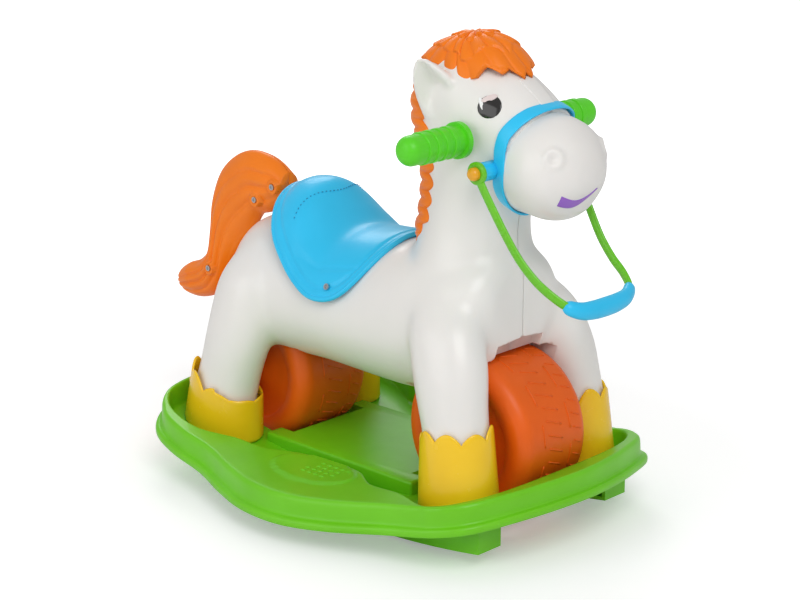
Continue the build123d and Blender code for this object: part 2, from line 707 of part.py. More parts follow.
def main():
    form = horse_form()
    room = horse_form(FIT)
    head = head_form(FIT)
    save("rocker_base", make_rocker_base())
    runner = make_runner()
    save("runner_left", runner)
    save("runner_right", mirror_x(runner))
    body_right, body_left = make_body_halves(form)
    save("body_right", body_right)
    save("body_left", body_left)
    save("muzzle", make_muzzle())
    save("noseband", make_noseband(head))
    save("mouth_inlay", make_mouth())
    save("bridge_cover", make_bridge_cover(head))
    eye = make_eye(head)
    save("eye_right", eye)
    save("eye_left", mirror_x(eye))
    save("forelock", make_forelock(head))
    save("neck_mane", make_neck_mane(room))
    save("handle_bar", make_handle_bar())
    save("grip_left", make_grip(1))
    save("grip_right", make_grip(-1))
    save("rein_hoop", make_rein_hoop())
    save("rein_grip", make_rein_grip())
    save("rein_pins", Compound(children=make_rein_pins()))
    save("rein_cap_left", make_rein_cap(1))
    save("rein_cap_right", make_rein_cap(-1))
    front_hoof = make_hoof(FRONT_LEG, FRONT_AXLE_Y, FRONT_HOOF_Y, FRONT_HOOF_HALF_LENGTH,
                           166, 138)
    save("hoof_front_left", front_hoof)
    save("hoof_front_right", mirror_x(front_hoof))
    rear_hoof = make_hoof(REAR_LEG, REAR_AXLE_Y, REAR_HOOF_Y, REAR_HOOF_HALF_LENGTH,
                          104, 140)
    save("hoof_rear_left", rear_hoof)
    save("hoof_rear_right", mirror_x(rear_hoof))
    save("saddle", make_saddle())
    save("saddle_screws", Compound(children=make_saddle_screws()))
    tail = make_tail_half(room)
    save("tail_left", tail)
    save("tail_right", open_for_screws(mirror_x(tail)))
    save("tail_screws", Compound(children=make_tail_screws()))
    for name, axle_y in (("front", FRONT_AXLE_Y), ("rear", REAR_AXLE_Y)):
        save(f"{name}_wheel", make_wheel(axle_y))
        save(f"{name}_axle", make_axle(axle_y))
        save(f"{name}_axle_clips", Compound(children=make_clips(axle_y)))


main()
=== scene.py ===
"""Rocking horse: the visible shells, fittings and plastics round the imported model."""
import json
from math import copysign, cos, pi, radians, sin, tau

import bmesh
import bpy
import numpy as np
from bpy.props import FloatProperty, FloatVectorProperty, PointerProperty
from mathutils import Matrix, Vector
from mathutils.bvhtree import BVHTree


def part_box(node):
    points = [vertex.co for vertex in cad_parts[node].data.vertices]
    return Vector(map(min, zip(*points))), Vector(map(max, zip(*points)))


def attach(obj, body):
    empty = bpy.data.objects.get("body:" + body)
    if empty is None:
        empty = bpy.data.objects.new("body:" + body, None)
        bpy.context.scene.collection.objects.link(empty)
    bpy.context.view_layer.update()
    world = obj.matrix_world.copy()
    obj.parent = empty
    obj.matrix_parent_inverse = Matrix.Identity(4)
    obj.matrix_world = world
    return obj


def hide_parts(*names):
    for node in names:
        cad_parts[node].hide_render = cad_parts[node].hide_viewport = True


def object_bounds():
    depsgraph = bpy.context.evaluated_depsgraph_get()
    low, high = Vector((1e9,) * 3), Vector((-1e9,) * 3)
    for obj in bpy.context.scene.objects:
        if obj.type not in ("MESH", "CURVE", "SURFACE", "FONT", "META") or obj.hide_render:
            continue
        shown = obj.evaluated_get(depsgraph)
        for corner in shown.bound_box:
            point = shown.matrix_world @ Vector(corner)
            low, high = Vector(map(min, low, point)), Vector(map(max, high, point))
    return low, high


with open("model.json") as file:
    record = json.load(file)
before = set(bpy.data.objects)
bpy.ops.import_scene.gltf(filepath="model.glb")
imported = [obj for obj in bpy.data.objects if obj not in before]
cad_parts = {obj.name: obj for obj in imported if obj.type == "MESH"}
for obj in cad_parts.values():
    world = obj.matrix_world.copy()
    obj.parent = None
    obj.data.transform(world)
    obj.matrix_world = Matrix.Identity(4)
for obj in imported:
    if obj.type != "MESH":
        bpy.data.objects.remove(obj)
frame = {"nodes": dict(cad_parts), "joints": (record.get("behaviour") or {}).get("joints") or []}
CAD_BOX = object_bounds()

bl_info = {
    "name": "Rocking Horse",
    "version": (1, 0, 0),
    "blender": (4, 5, 0),
    "location": "View3D > Sidebar > Rocking Horse",
    "description": "Builds a ride-on rocking horse with its moulded shells and plastics",
    "category": "Object",
}

MM = 0.001
JOINTS = {joint["name"]: joint for joint in frame["joints"]}
REAR_AXLE = Vector(JOINTS["rear_wheel_spin"]["pos_m"])
FRONT_AXLE = Vector(JOINTS["front_wheel_spin"]["pos_m"])
PIVOT = Vector(JOINTS["rein_swing"]["pos_m"])
REAR_AXLE_BACK = 0.216             # metres from the rocker's middle back to the rear axle
ROCKER_Y = REAR_AXLE.y - REAR_AXLE_BACK
# The sizes below are in millimetres from the floor under the rocker's middle.
ROOM_RADIUS, ROOM_HALF = 106, 66   # wheel housings in the body and slots in the rocker
SWEEP_RADIUS = 1200                # the rim's long sweep upwards to both ends

# ---------------------------------------------------------------- forms, in mm
# trunk sections: y, centre z, half width, half height
TORSO = (
    (-206, 286, 58, 52), (-190, 278, 84, 76), (-160, 268, 101, 92), (-110, 256, 106, 99),
    (-50, 246, 104, 96), (20, 242, 102, 91), (90, 241, 103, 88), (150, 241, 105, 90),
    (205, 243, 100, 87), (240, 242, 78, 79), (258, 238, 54, 60), (272, 234, 26, 32),
    (278, 233, 12, 16),
)
# neck sections: z, centre y, half width, half length
NECK = (
    (250, -120, 98, 78), (300, -124, 86, 76), (340, -125, 74, 73), (380, -129, 65, 67),
    (420, -135, 62, 69), (460, -141, 63, 79), (505, -138, 67, 88), (545, -131, 61, 80),
    (578, -121, 45, 58), (594, -117, 24, 32),
)
# snout sections: y, centre z, half width, half height
SNOUT = (
    (-120, 502, 56, 78), (-160, 500, 58, 80), (-190, 496, 58, 78), (-225, 481, 57, 71),
    (-252, 466, 56, 60), (-268, 463, 46, 48),
)
# leg sections: z, centre x, centre y, half x, half y
FRONT_LEG = (
    (320, 60, -136, 18, 28), (300, 70, -146, 28, 40), (270, 86, -160, 38, 50),
    (225, 98, -176, 40, 52), (180, 105, -188, 38, 47), (140, 108, -198, 37, 44),
    (95, 110, -205, 38, 46), (60, 111, -206, 38, 46),
)
REAR_LEG = (
    (312, 52, 182, 18, 28), (290, 64, 186, 30, 42), (262, 79, 190, 40, 48),
    (225, 90, 193, 40, 52), (178, 100, 200, 39, 50), (135, 105, 211, 37, 48),
    (95, 109, 222, 38, 51), (60, 111, 226, 38, 53),
)
# muzzle sections: y, centre z, half width, half height
MUZZLE = (
    (-200, 466, 57, 61), (-226, 467, 60.5, 63), (-256, 464, 64, 62), (-279, 463, 58, 55),
    (-295, 463, 42, 40), (-304, 463, 25, 24), (-307.5, 463, 9, 8),
)
# line in side view where the muzzle meets the head: y, z
SEAM = ((-262, 580), (-243, 530), (-221, 486), (-211, 440), (-207, 396), (-206, 360))
# form under the forelock and under the saddle: y, centre z, half width, half height
FORELOCK = (
    (-40, 549, 14, 14), (-50, 552, 27, 25), (-66, 554, 38, 38), (-92, 554, 48, 51),
    (-118, 554, 52, 60), (-148, 553, 52, 62), (-174, 550, 49, 56), (-194, 546, 41, 40),
    (-208, 545, 30, 27), (-216, 545, 18, 15),
)
SADDLE = (
    (-36, 252, 70, 84), (-22, 250, 94, 94), (-6, 248, 107, 98), (28, 246, 112, 98),
    (60, 244, 113, 101), (90, 243, 110, 123), (120, 243, 105, 146), (150, 242, 98, 149),
    (176, 242, 86, 139), (192, 242, 76, 128),
)
SADDLE_ENDS = (-23, 187)           # front and back of the saddle's rim on the centre line
SADDLE_REACH = 73                  # degrees that the flaps come down from the top
SADDLE_FORWARD = 0.22              # how much further down they come towards the front
SADDLE_SQUARE = 2.8                # power of the oval: 2 is an ellipse, more is squarer
STITCH_MIDDLE, STITCH_SWING = 106, 17   # place of the sewn line, and its wave backwards
# upper and lower edge of the tail in side view, from its root to its tip: y, z
TAIL_OUTER = (
    (205, 384), (222, 396), (244, 403), (276, 404), (308, 392), (337, 367), (353, 330),
    (357, 290), (364, 254), (384, 233), (410, 222), (430, 208), (432, 196),
)
TAIL_INNER = (
    (207, 348), (222, 334), (241, 324), (258, 318), (272, 300), (292, 278), (309, 258),
    (322, 240), (334, 214), (352, 189), (382, 177), (412, 177), (428, 188),
)
TAIL_SCREWS = ((216, 366), (251, 343), (349, 229))
# right half of the rocker's outer edge and of its inner pocket, front to back: x, y
SKIRT = (
    (0, -320), (60, -313), (118, -297), (168, -275), (192, -236), (207, -170), (235, -98),
    (252, -36), (252, 30), (238, 88), (219, 148), (212, 212), (195, 262), (150, 296),
    (78, 314), (0, 320),
)
POCKET = (
    (0, -272), (80, -270), (132, -260), (172, -236), (182, -206), (166, -176), (153, -140),
    (148, -92), (122, -48), (119, 0), (126, 48), (151, 92), (160, 140), (180, 178),
    (182, 222), (165, 268), (120, 294), (0, 300),
)


# ---------------------------------------------------------------- colours and materials
def linear(hex_code):
    """Linear RGB of an sRGB hex colour."""
    values = [int(hex_code[i:i + 2], 16) / 255 for i in (1, 3, 5)]
    return tuple(v / 12.92 if v <= 0.04045 else ((v + 0.055) / 1.055) ** 2.4 for v in values)


def add_node(tree, kind, at, links=(), **values):
    """Add a shader node: set its inputs and properties by name, then link its inputs."""
    node = tree.nodes.new(kind)
    node.location = at
    for name, value in values.items():
        if hasattr(node, name):
            setattr(node, name, value)
        else:
            node.inputs[name.replace("_", " ")].default_value = value
    for name, source in dict(links).items():
        tree.links.new(source, node.inputs[name])
    return node


CLOUD_MM = 60      # patches of slightly paler and darker resin
SCUFF_MM = 18      # patches that play has made duller or glossier
GRAIN_MM = 1.2     # skin of the mould; really finer, drawn this coarse so that it shows
DRAWN_MM = 1.5     # drawing lines on the rods; really finer, drawn this coarse to show


def plastic(name, colour, rough=0.3, coat=0.25, cloud=0.06, grain=0.05, milk=0.0,
            wave_mm=0.0):
    """Moulded polyethylene or ABS: a faint cloudiness in the colour, a fine skin texture."""
    material = bpy.data.materials.new(name)
    material.use_nodes = True
    tree = material.node_tree
    tree.nodes.clear()
    place = add_node(tree, "ShaderNodeTexCoord", (-1200, 0)).outputs["Object"]
    clouds = add_node(tree, "ShaderNodeTexNoise", (-1000, 200), {"Vector": place},
                      Scale=1 / (CLOUD_MM * MM), Detail=3.0, Roughness=0.5)
    dark = [c * (1 - cloud) for c in colour]
    light = [min(1.0, c * (1 + 0.6 * cloud) + 0.004) for c in colour]
    ramp = add_node(tree, "ShaderNodeValToRGB", (-780, 200), {"Fac": clouds.outputs["Fac"]})
    ramp.color_ramp.elements[0].position = 0.3
    ramp.color_ramp.elements[0].color = (*dark, 1)
    ramp.color_ramp.elements[1].position = 0.72
    ramp.color_ramp.elements[1].color = (*light, 1)
    scuffs = add_node(tree, "ShaderNodeTexNoise", (-1000, -80), {"Vector": place},
                      Scale=1 / (SCUFF_MM * MM), Detail=4.0, Roughness=0.6)
    gloss = add_node(tree, "ShaderNodeMapRange", (-780, -80), {"Value": scuffs.outputs["Fac"]},
                     To_Min=rough - 0.05, To_Max=rough + 0.08)
    skin = add_node(tree, "ShaderNodeTexNoise", (-1000, -360), {"Vector": place},
                    Scale=1 / (GRAIN_MM * MM), Detail=2.0)
    bump = add_node(tree, "ShaderNodeBump", (-520, -320), {"Height": skin.outputs["Fac"]},
                    Strength=grain, Distance=0.0004)
    if wave_mm:
        sag = add_node(tree, "ShaderNodeTexNoise", (-1000, -600), {"Vector": place},
                       Scale=1 / (wave_mm * MM), Detail=1.0)
        bump = add_node(tree, "ShaderNodeBump", (-340, -420),
                        {"Height": sag.outputs["Fac"], "Normal": bump.outputs["Normal"]},
                        Strength=0.25, Distance=0.0012)
    shader = add_node(tree, "ShaderNodeBsdfPrincipled", (-100, 100), {
        "Base Color": ramp.outputs["Color"], "Roughness": gloss.outputs["Result"],
        "Normal": bump.outputs["Normal"]},
        IOR=1.4, Coat_Weight=coat, Coat_Roughness=0.15)
    if milk:
        shader.inputs["Subsurface Weight"].default_value = milk
        shader.inputs["Subsurface Radius"].default_value = (1.0, 0.8, 0.6)
        shader.inputs["Subsurface Scale"].default_value = 0.004
    out = add_node(tree, "ShaderNodeOutputMaterial", (200, 100))
    tree.links.new(shader.outputs["BSDF"], out.inputs["Surface"])
    return material


def zinc_steel():
    """Drawn, zinc-plated steel: pale grey with fine lines round the rod."""
    material = bpy.data.materials.new("zinc_plated_steel")
    material.use_nodes = True
    tree = material.node_tree
    tree.nodes.clear()
    place = add_node(tree, "ShaderNodeTexCoord", (-900, 0)).outputs["Object"]
    lines = add_node(tree, "ShaderNodeTexNoise", (-700, 0), {"Vector": place},
                     Scale=1 / (DRAWN_MM * MM), Detail=3.0)
    gloss = add_node(tree, "ShaderNodeMapRange", (-480, 0), {"Value": lines.outputs["Fac"]},
                     To_Min=0.25, To_Max=0.42)
    bump = add_node(tree, "ShaderNodeBump", (-480, -220), {"Height": lines.outputs["Fac"]},
                    Strength=0.1, Distance=0.0002)
    shader = add_node(tree, "ShaderNodeBsdfPrincipled", (-200, 0), {
        "Roughness": gloss.outputs["Result"], "Normal": bump.outputs["Normal"]},
        Base_Color=(*linear("#B9BBBE"), 1), Metallic=1.0)
    out = add_node(tree, "ShaderNodeOutputMaterial", (100, 0))
    tree.links.new(shader.outputs["BSDF"], out.inputs["Surface"])
    return material


def colour(label, hex_code):
    """Colour setting with its default as an sRGB hex value."""
    return FloatVectorProperty(name=label, description=f"Colour of the {label.lower()}",
                               subtype="COLOR", size=3, min=0, max=1, default=linear(hex_code))


def millimetres(label, text, value):
    """Length setting with its default in millimetres."""
    return FloatProperty(name=label, description=text, default=value * MM, min=0.0,
                         unit="LENGTH", subtype="DISTANCE")


class HorseColours(bpy.types.PropertyGroup):
    white: colour("Body white", "#EFECE8")
    orange: colour("Mane orange", "#FF8103")
    wheel: colour("Wheel orange", "#F26404")
    blue: colour("Saddle blue", "#2CC8FA")
    rein: colour("Rein green", "#6CC71C")
    grip: colour("Grip green", "#5CDB22")
    rocker: colour("Rocker green", "#72CE14")
    yellow: colour("Hoof yellow", "#FFCC16")
    amber: colour("Cap amber", "#EFA91A")
    purple: colour("Mouth purple", "#9A63CC")
    black: colour("Eye black", "#1C1918")


class HorseSizes(bpy.types.PropertyGroup):
    voxel: millimetres("Shell voxel", "Grid that the body's forms are merged on", 4.5)
    seam: millimetres("Seam gap", "Gap between the two body halves", 0.7)
    band_width: millimetres("Noseband width", "Width of the band round the snout", 17.0)
    band_thick: millimetres("Noseband thickness", "Thickness of the band", 3.2)
    rein_radius: millimetres("Rein radius", "Half the rein's thickness", 5.8)
    scallop: millimetres("Hoof scallop", "Height of the waves on a hoof's top edge", 12.0)
    bead: millimetres("Saddle bead", "Radius of the rolled rim of the saddle", 3.6)


# ---------------------------------------------------------------- mesh helpers
def at(x, y, z):
    """Point in metres from millimetres in the rocker's own layout."""
    return Vector((x * MM, y * MM + ROCKER_Y, z * MM))


def side_view(point):
    """Y and Z in the rocker's own millimetres of a point of the frame."""
    return (point.y - ROCKER_Y) / MM, point.z / MM


def sweep(y):
    """Rise of the rocker's rim over its middle."""
    return y * y / (2 * SWEEP_RADIUS)


def turns(count):
    """Even steps of angle once round."""
    return np.linspace(0, tau, count, endpoint=False)


def squared(value, power):
    """Sine or cosine bent towards its ends, which makes a circle squarish."""
    return copysign(abs(value) ** power, value)


def smooth_curve(points, count, closed=False):
    """Evenly stepped Catmull-Rom curve through points of any dimension."""
    p = np.array(points, dtype=float)
    n = len(p)
    spans = n if closed else n - 1
    out = []
    for t in np.linspace(0, spans, count, endpoint=not closed):
        i = min(int(t), spans - 1)
        f = t - i
        if closed:
            a, b, c, d = p[(i - 1) % n], p[i % n], p[(i + 1) % n], p[(i + 2) % n]
        else:
            b, c = p[i], p[i + 1]
            a = p[i - 1] if i else 2 * b - c
            d = p[i + 2] if i + 2 < n else 2 * c - b
        out.append(0.5 * (2 * b + (c - a) * f + (2 * a - 5 * b + 4 * c - d) * f ** 2
                          + (3 * b - a - 3 * c + d) * f ** 3))
    return np.array(out)


def lookup(table, key, column):
    """Value in a table's column at a key of its first column."""
    rows = sorted(table)
    return float(np.interp(key, [r[0] for r in rows], [r[column] for r in rows]))


def reach_of(points, count=720):
    """Distance of a rocker outline from the middle, at even steps of angle."""
    whole = list(points) + [(-x, y) for x, y in reversed(points[1:-1])]
    loop = smooth_curve(whole, count * 4, closed=True)
    turn = np.arctan2(loop[:, 1], loop[:, 0])
    order = np.argsort(turn)
    steps = np.linspace(-pi, pi, count, endpoint=False)
    reach = np.interp(steps, turn[order], np.linalg.norm(loop, axis=1)[order], period=2 * pi)
    return sum(np.roll(reach, k) for k in range(-3, 4)) / 7


def radial(reach):
    """Points of a loop given by its distances at even steps of angle."""
    steps = np.linspace(-pi, pi, len(reach), endpoint=False)
    return np.stack([reach * np.cos(steps), reach * np.sin(steps)], axis=1)


def rings_mesh(name, rings, closed_along=False, caps=True):
    """Mesh skinned over rings of equally many points."""
    rings = np.array(rings, dtype=float)
    rows, cols = rings.shape[:2]
    verts = [tuple(v) for v in rings.reshape(-1, 3)]
    faces = []
    for i in range(rows if closed_along else rows - 1):
        j = (i + 1) % rows
        for k in range(cols):
            m = (k + 1) % cols
            faces.append((i * cols + k, i * cols + m, j * cols + m, j * cols + k))
    if caps and not closed_along:
        for row, flip in ((0, True), (rows - 1, False)):
            centre = len(verts)
            verts.append(tuple(rings[row].mean(axis=0)))
            for k in range(cols):
                m = (k + 1) % cols
                a, b = row * cols + k, row * cols + m
                faces.append((b, a, centre) if flip else (a, b, centre))
    mesh = bpy.data.meshes.new(name)
    mesh.from_pydata(verts, [], faces)
    tidy(mesh)
    return mesh


def tidy(mesh):
    """Merge doubled points, point the normals outwards and shade smoothly."""
    bm = bmesh.new()
    bm.from_mesh(mesh)
    bmesh.ops.remove_doubles(bm, verts=bm.verts, dist=1e-6)
    bmesh.ops.recalc_face_normals(bm, faces=bm.faces)
    bm.to_mesh(mesh)
    bm.free()
    mesh.shade_smooth()


def ellipse_loft(stations, upright, steps=40, round_points=56):
    """Rings of a form given by elliptical stations, level (upright) or across Y."""
    if upright and len(stations[0]) == 4:
        stations = [(z, 0, y, a, b) for z, y, a, b in stations]
    rings = []
    angles = turns(round_points)
    for row in smooth_curve(stations, steps):
        if upright:
            z, cx, cy, a, b = row
            ring = [at(cx + a * cos(t), cy + b * sin(t), z) for t in angles]
        else:
            y, cz, a, b = row
            ring = [at(a * cos(t), y, cz + b * sin(t)) for t in angles]
        rings.append([tuple(v) for v in ring])
    return rings


def scratch(mesh):
    """Object for a mesh that is still being worked on."""
    obj = bpy.data.objects.new(mesh.name, mesh)
    bpy.context.collection.objects.link(obj)
    return obj


def applied(obj):
    """Bake an object's modifiers into its mesh."""
    depsgraph = bpy.context.evaluated_depsgraph_get()
    mesh = bpy.data.meshes.new_from_object(obj.evaluated_get(depsgraph))
    obj.modifiers.clear()
    old = obj.data
    obj.data = mesh
    bpy.data.meshes.remove(old)
    return obj


def join_meshes(name, meshes):
    """One mesh of several, left as they are."""
    bm = bmesh.new()
    for mesh in meshes:
        bm.from_mesh(mesh)
    whole = bpy.data.meshes.new(name)
    bm.to_mesh(whole)
    bm.free()
    whole.shade_smooth()
    return whole


def merged(name, meshes, voxel, relax):
    """One skin over overlapping closed forms, its creases relaxed into blends."""
    obj = scratch(join_meshes(name, meshes))
    remesh = obj.modifiers.new("merge", "REMESH")
    remesh.mode = "VOXEL"
    remesh.voxel_size = voxel
    remesh.use_smooth_shade = True
    relaxing = obj.modifiers.new("relax", "SMOOTH")
    relaxing.factor = 0.5
    relaxing.iterations = relax
    return applied(obj)


def carve(obj, cutters, operation="DIFFERENCE"):
    """Boolean with closed cutter meshes."""
    for mesh in cutters:
        cutter = scratch(mesh)
        cut = obj.modifiers.new("cut", "BOOLEAN")
        cut.operation = operation
        cut.solver = "EXACT"
        cut.object = cutter
        applied(obj)
        bpy.data.objects.remove(cutter)
    return obj


def prism(name, points, axis, low, high):
    """Closed prism of an outline given in the two other axes' order, in mm."""
    ends = []
    for level in (low, high):
        ring = []
        for u, v in points:
            ring.append(tuple(at(u, level, v) if axis == "y" else at(level, u, v)))
        ends.append(ring)
    return rings_mesh(name, ends)


def barrel(name, y, z, radius, x_from, x_to, count=96):
    """Closed cylinder along X, in mm."""
    rings = [[tuple(at(x, y + radius * cos(t), z + radius * sin(t))) for t in turns(count)]
             for x in (x_from, x_to)]
    return rings_mesh(name, rings)


def tube(name, path, radii, across=None, round_points=20, closed=False):
    """Tube round a path in metres; radii are (half thickness, half width) per point."""
    path = [Vector(p) for p in path]
    n = len(path)
    rings = []
    side = Vector(across or (1, 0, 0))
    for i, p in enumerate(path):
        before = path[(i - 1) % n] if closed or i else path[0]
        after = path[(i + 1) % n] if closed or i < n - 1 else path[-1]
        along = (after - before).normalized()
        u = (side - along * side.dot(along)).normalized()
        if across is None:
            side = u
        v = along.cross(u)
        a, b = radii[i] if hasattr(radii[0], "__len__") else (radii[i], radii[i])
        rings.append([tuple(p + u * (a * cos(t)) + v * (b * sin(t)))
                      for t in turns(round_points)])
    return rings_mesh(name, rings, closed_along=closed)


def mirrored(mesh, name):
    """Copy of a mesh on the other side of the middle plane."""
    copy = mesh.copy()
    copy.name = name
    copy.transform(Matrix.Scale(-1, 4, (1, 0, 0)))
    copy.flip_normals()
    return copy


def place(mesh_or_object, name, material, body, slot, *nodes):
    """Finish a piece: name it, give it its material, and tie it to the frame."""
    obj = mesh_or_object
    if isinstance(obj, bpy.types.Mesh):
        obj = scratch(obj)
    obj.name = name
    obj.data.name = name
    obj.data.materials.clear()
    obj.data.materials.append(material)
    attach(obj, body)
    if nodes:
        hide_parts(*nodes)
    return obj


def made(name, *args, **settings):
    """The scene's one copy of a plastic."""
    return bpy.data.materials.get(name) or plastic(name, *args, **settings)


def scene_colours():
    """Colours that the user can change."""
    return bpy.context.scene.horse_colours


def scene_sizes():
    """Sizes that the user can change."""
    return bpy.context.scene.horse_sizes


def body_white():
    """Milky shell: light sinks in a little, over slow waves left by the mould."""
    return made("blow_moulded_white_polyethylene", scene_colours().white, rough=0.3,
                coat=0.2, cloud=0.012, grain=0.01, milk=0.05, wave_mm=60)


def hair_orange():
    """Waxy, nearly dull orange with soft broad highlights on the tufts."""
    return made("blow_moulded_orange_polyethylene", scene_colours().orange, rough=0.4,
                coat=0.06, cloud=0.07, grain=0.06, wave_mm=18)


def wheel_orange():
    """Deeper, duller orange, as a thick hollow wheel looks."""
    return made("blow_moulded_wheel_polyethylene", scene_colours().wheel, rough=0.42,
                coat=0.05, cloud=0.06, grain=0.08, wave_mm=30)


def sky_blue():
    """Even, satin blue with a clear edge to its highlights."""
    return made("injection_moulded_blue_abs", scene_colours().blue, rough=0.36, coat=0.12,
                cloud=0.03, grain=0.03)


def rocker_green():
    """Satin green, a little uneven, as a large hollow moulding looks."""
    return made("blow_moulded_green_polyethylene", scene_colours().rocker, rough=0.36,
                coat=0.15, cloud=0.05, grain=0.07, wave_mm=40)


def hoof_yellow():
    """Glossy, even yellow."""
    return made("injection_moulded_yellow_abs", scene_colours().yellow, rough=0.24,
                coat=0.3, cloud=0.05, grain=0.03)


# ---------------------------------------------------------------- the horse's body
def ear_rings(side):
    """Rings of one ear: a tapering blade, hollowed on its outer front face."""
    root, tip = at(side * 51, -122, 528), at(side * 81, -106, 585)
    axis = (tip - root).normalized()
    wide = Vector((-0.16 * side, -0.84, 0.5))
    wide = (wide - axis * wide.dot(axis)).normalized()
    face = axis.cross(wide) * side
    if face.y > 0:
        face = -face
    rings = []
    for share, half_wide, half_thick in smooth_curve(
            ((-0.2, 32, 17), (0.0, 32, 17), (0.3, 30, 16), (0.6, 23, 13), (0.85, 13, 9),
             (0.97, 6, 5), (1.0, 2, 2)), 22):
        centre = root + (tip - root) * float(share)
        hollow = min(1.0, max(0.0, 4 * (share + 0.05)))
        ring = []
        for t in turns(40):
            c, s = cos(t), sin(t)
            depth = half_thick * s
            if s > 0:
                dip = 1.9 * c * c * (1 - c * c) - 0.55 * (1 - c * c) ** 2
                depth = half_thick * (dip * hollow + s * (1 - hollow))
            ring.append(tuple(centre + wide * (half_wide * c * MM) + face * (depth * MM)))
        rings.append(ring)
    return rings


def seam_prism(name, shift, half_width=90):
    """Everything in front of the muzzle seam."""
    points = [(y + shift, z) for y, z in SEAM] + [(-400, 350), (-400, 590)]
    return prism(name, points, "x", -half_width, half_width)


def wheel_openings():
    """Cutters for both wheel housings and the gabled opening between the front legs."""
    rooms = []
    for axle in (FRONT_AXLE, REAR_AXLE):
        rooms.append(barrel("room", *side_view(axle), ROOM_RADIUS, -ROOM_HALF, ROOM_HALF))
    half = ((0, 247), (41, 242), (41, 226), (46, 222), (60, 214), (65, 208), (66, 201),
            (66, 40))
    gable = list(half) + [(-x, z) for x, z in reversed(half[1:])]
    arch = scratch(prism("arch", gable, "y", -346, -186))
    carve(arch, [rooms[0]], "UNION")
    mesh = join_meshes("openings", [arch.data, rooms[1], seam_prism("face", -2)])
    bpy.data.objects.remove(arch)
    return mesh


def halves(obj, gap):
    """Closed left and right meshes of a piece that is split down the middle."""
    parts = []
    for side in (1, -1):
        bm = bmesh.new()
        bm.from_mesh(obj.data)
        everything = bm.verts[:] + bm.edges[:] + bm.faces[:]
        bmesh.ops.bisect_plane(bm, geom=everything, plane_co=(side * gap / 2, 0, 0),
                               plane_no=(side, 0, 0), clear_inner=True)
        rim = [edge for edge in bm.edges if edge.is_boundary]
        bmesh.ops.triangle_fill(bm, edges=rim, use_beauty=True)
        mesh = bpy.data.meshes.new(f"{obj.name}_{'left' if side > 0 else 'right'}")
        bmesh.ops.recalc_face_normals(bm, faces=bm.faces)
        for face in bm.faces:
            face.smooth = abs(face.normal.x) < 0.9999
        bm.to_mesh(mesh)
        bm.free()
        parts.append(mesh)
    bpy.data.objects.remove(obj)
    return parts


def make_body():
    """White body: trunk, neck, head, legs and ears in one skin, split into two shells."""
    sizes = scene_sizes()
    forms = [rings_mesh("trunk", ellipse_loft(TORSO, False, 60, 72)),
             rings_mesh("neck", ellipse_loft(NECK, True, 50, 72)),
             rings_mesh("snout", ellipse_loft(SNOUT, False, 40, 72))]
    for leg in (FRONT_LEG, REAR_LEG):
        limb = rings_mesh("limb", ellipse_loft(leg, True, 44))
        forms += [limb, mirrored(limb, "far_limb")]
    body = merged("body", forms, sizes.voxel, 26)
    ears = [rings_mesh("ear", ear_rings(side)) for side in (1, -1)]
    whole = merged("body_shell", [body.data] + ears, sizes.voxel * 0.8, 5)
    bpy.data.objects.remove(body)
    carve(whole, [wheel_openings()])
    left, right = halves(whole, sizes.seam)
    place(left, "body_left_shell", body_white(), "horse", "white", "body_left")
    place(right, "body_right_shell", body_white(), "horse", "white", "body_right")


# ---------------------------------------------------------------- the head's fittings
def muzzle_point(t, y):
    """Point of the muzzle's own form at an angle round the snout."""
    half_x, half_z = lookup(MUZZLE, y, 2), lookup(MUZZLE, y, 3)
    return half_x * sin(t), lookup(MUZZLE, y, 1) + half_z * cos(t)


def make_muzzle():
    """White muzzle cup with raised nostrils and a dimple at each end of the smile."""
    rings = np.array(ellipse_loft(MUZZLE, False, 110, 160))
    centre = np.array(at(0, -252, 463))
    outward = rings - centre
    outward /= np.linalg.norm(outward, axis=2)[:, :, None]
    for side in (1, -1):
        for place_at, size, swell, pit in (((43, -284, 485), 9.5, 3.4, 4.0),
                                           ((39, -281, 447), 6.0, 1.4, 2.0)):
            spot = np.array(at(side * place_at[0], place_at[1], place_at[2]))
            reach = np.linalg.norm(rings - spot, axis=2) / MM
            low = np.clip((spot[2] - rings[:, :, 2]) / (size * MM), -1, 1)
            ring = swell * np.exp(-((reach - size) / (size * 0.45)) ** 2) * (0.75 - 0.25 * low)
            shift = (ring - pit * np.exp(-(reach / (size * 0.55)) ** 2)) * MM
            rings = rings + outward * shift[:, :, None]
    dent = np.exp(-(rings[:, :, 0] / 0.030) ** 2 - ((rings[:, :, 2] - 0.431) / 0.013) ** 2)
    rings[:, :, 1] += 0.004 * dent * (rings[:, :, 1] < centre[1])
    cup = scratch(rings_mesh("muzzle_cup", rings))
    behind = [(y, z) for y, z in SEAM] + [(-150, 350), (-150, 590)]
    carve(cup, [prism("behind", behind, "x", -90, 90)])
    return place(cup, "muzzle_cup", body_white(), "horse", "white", "muzzle")


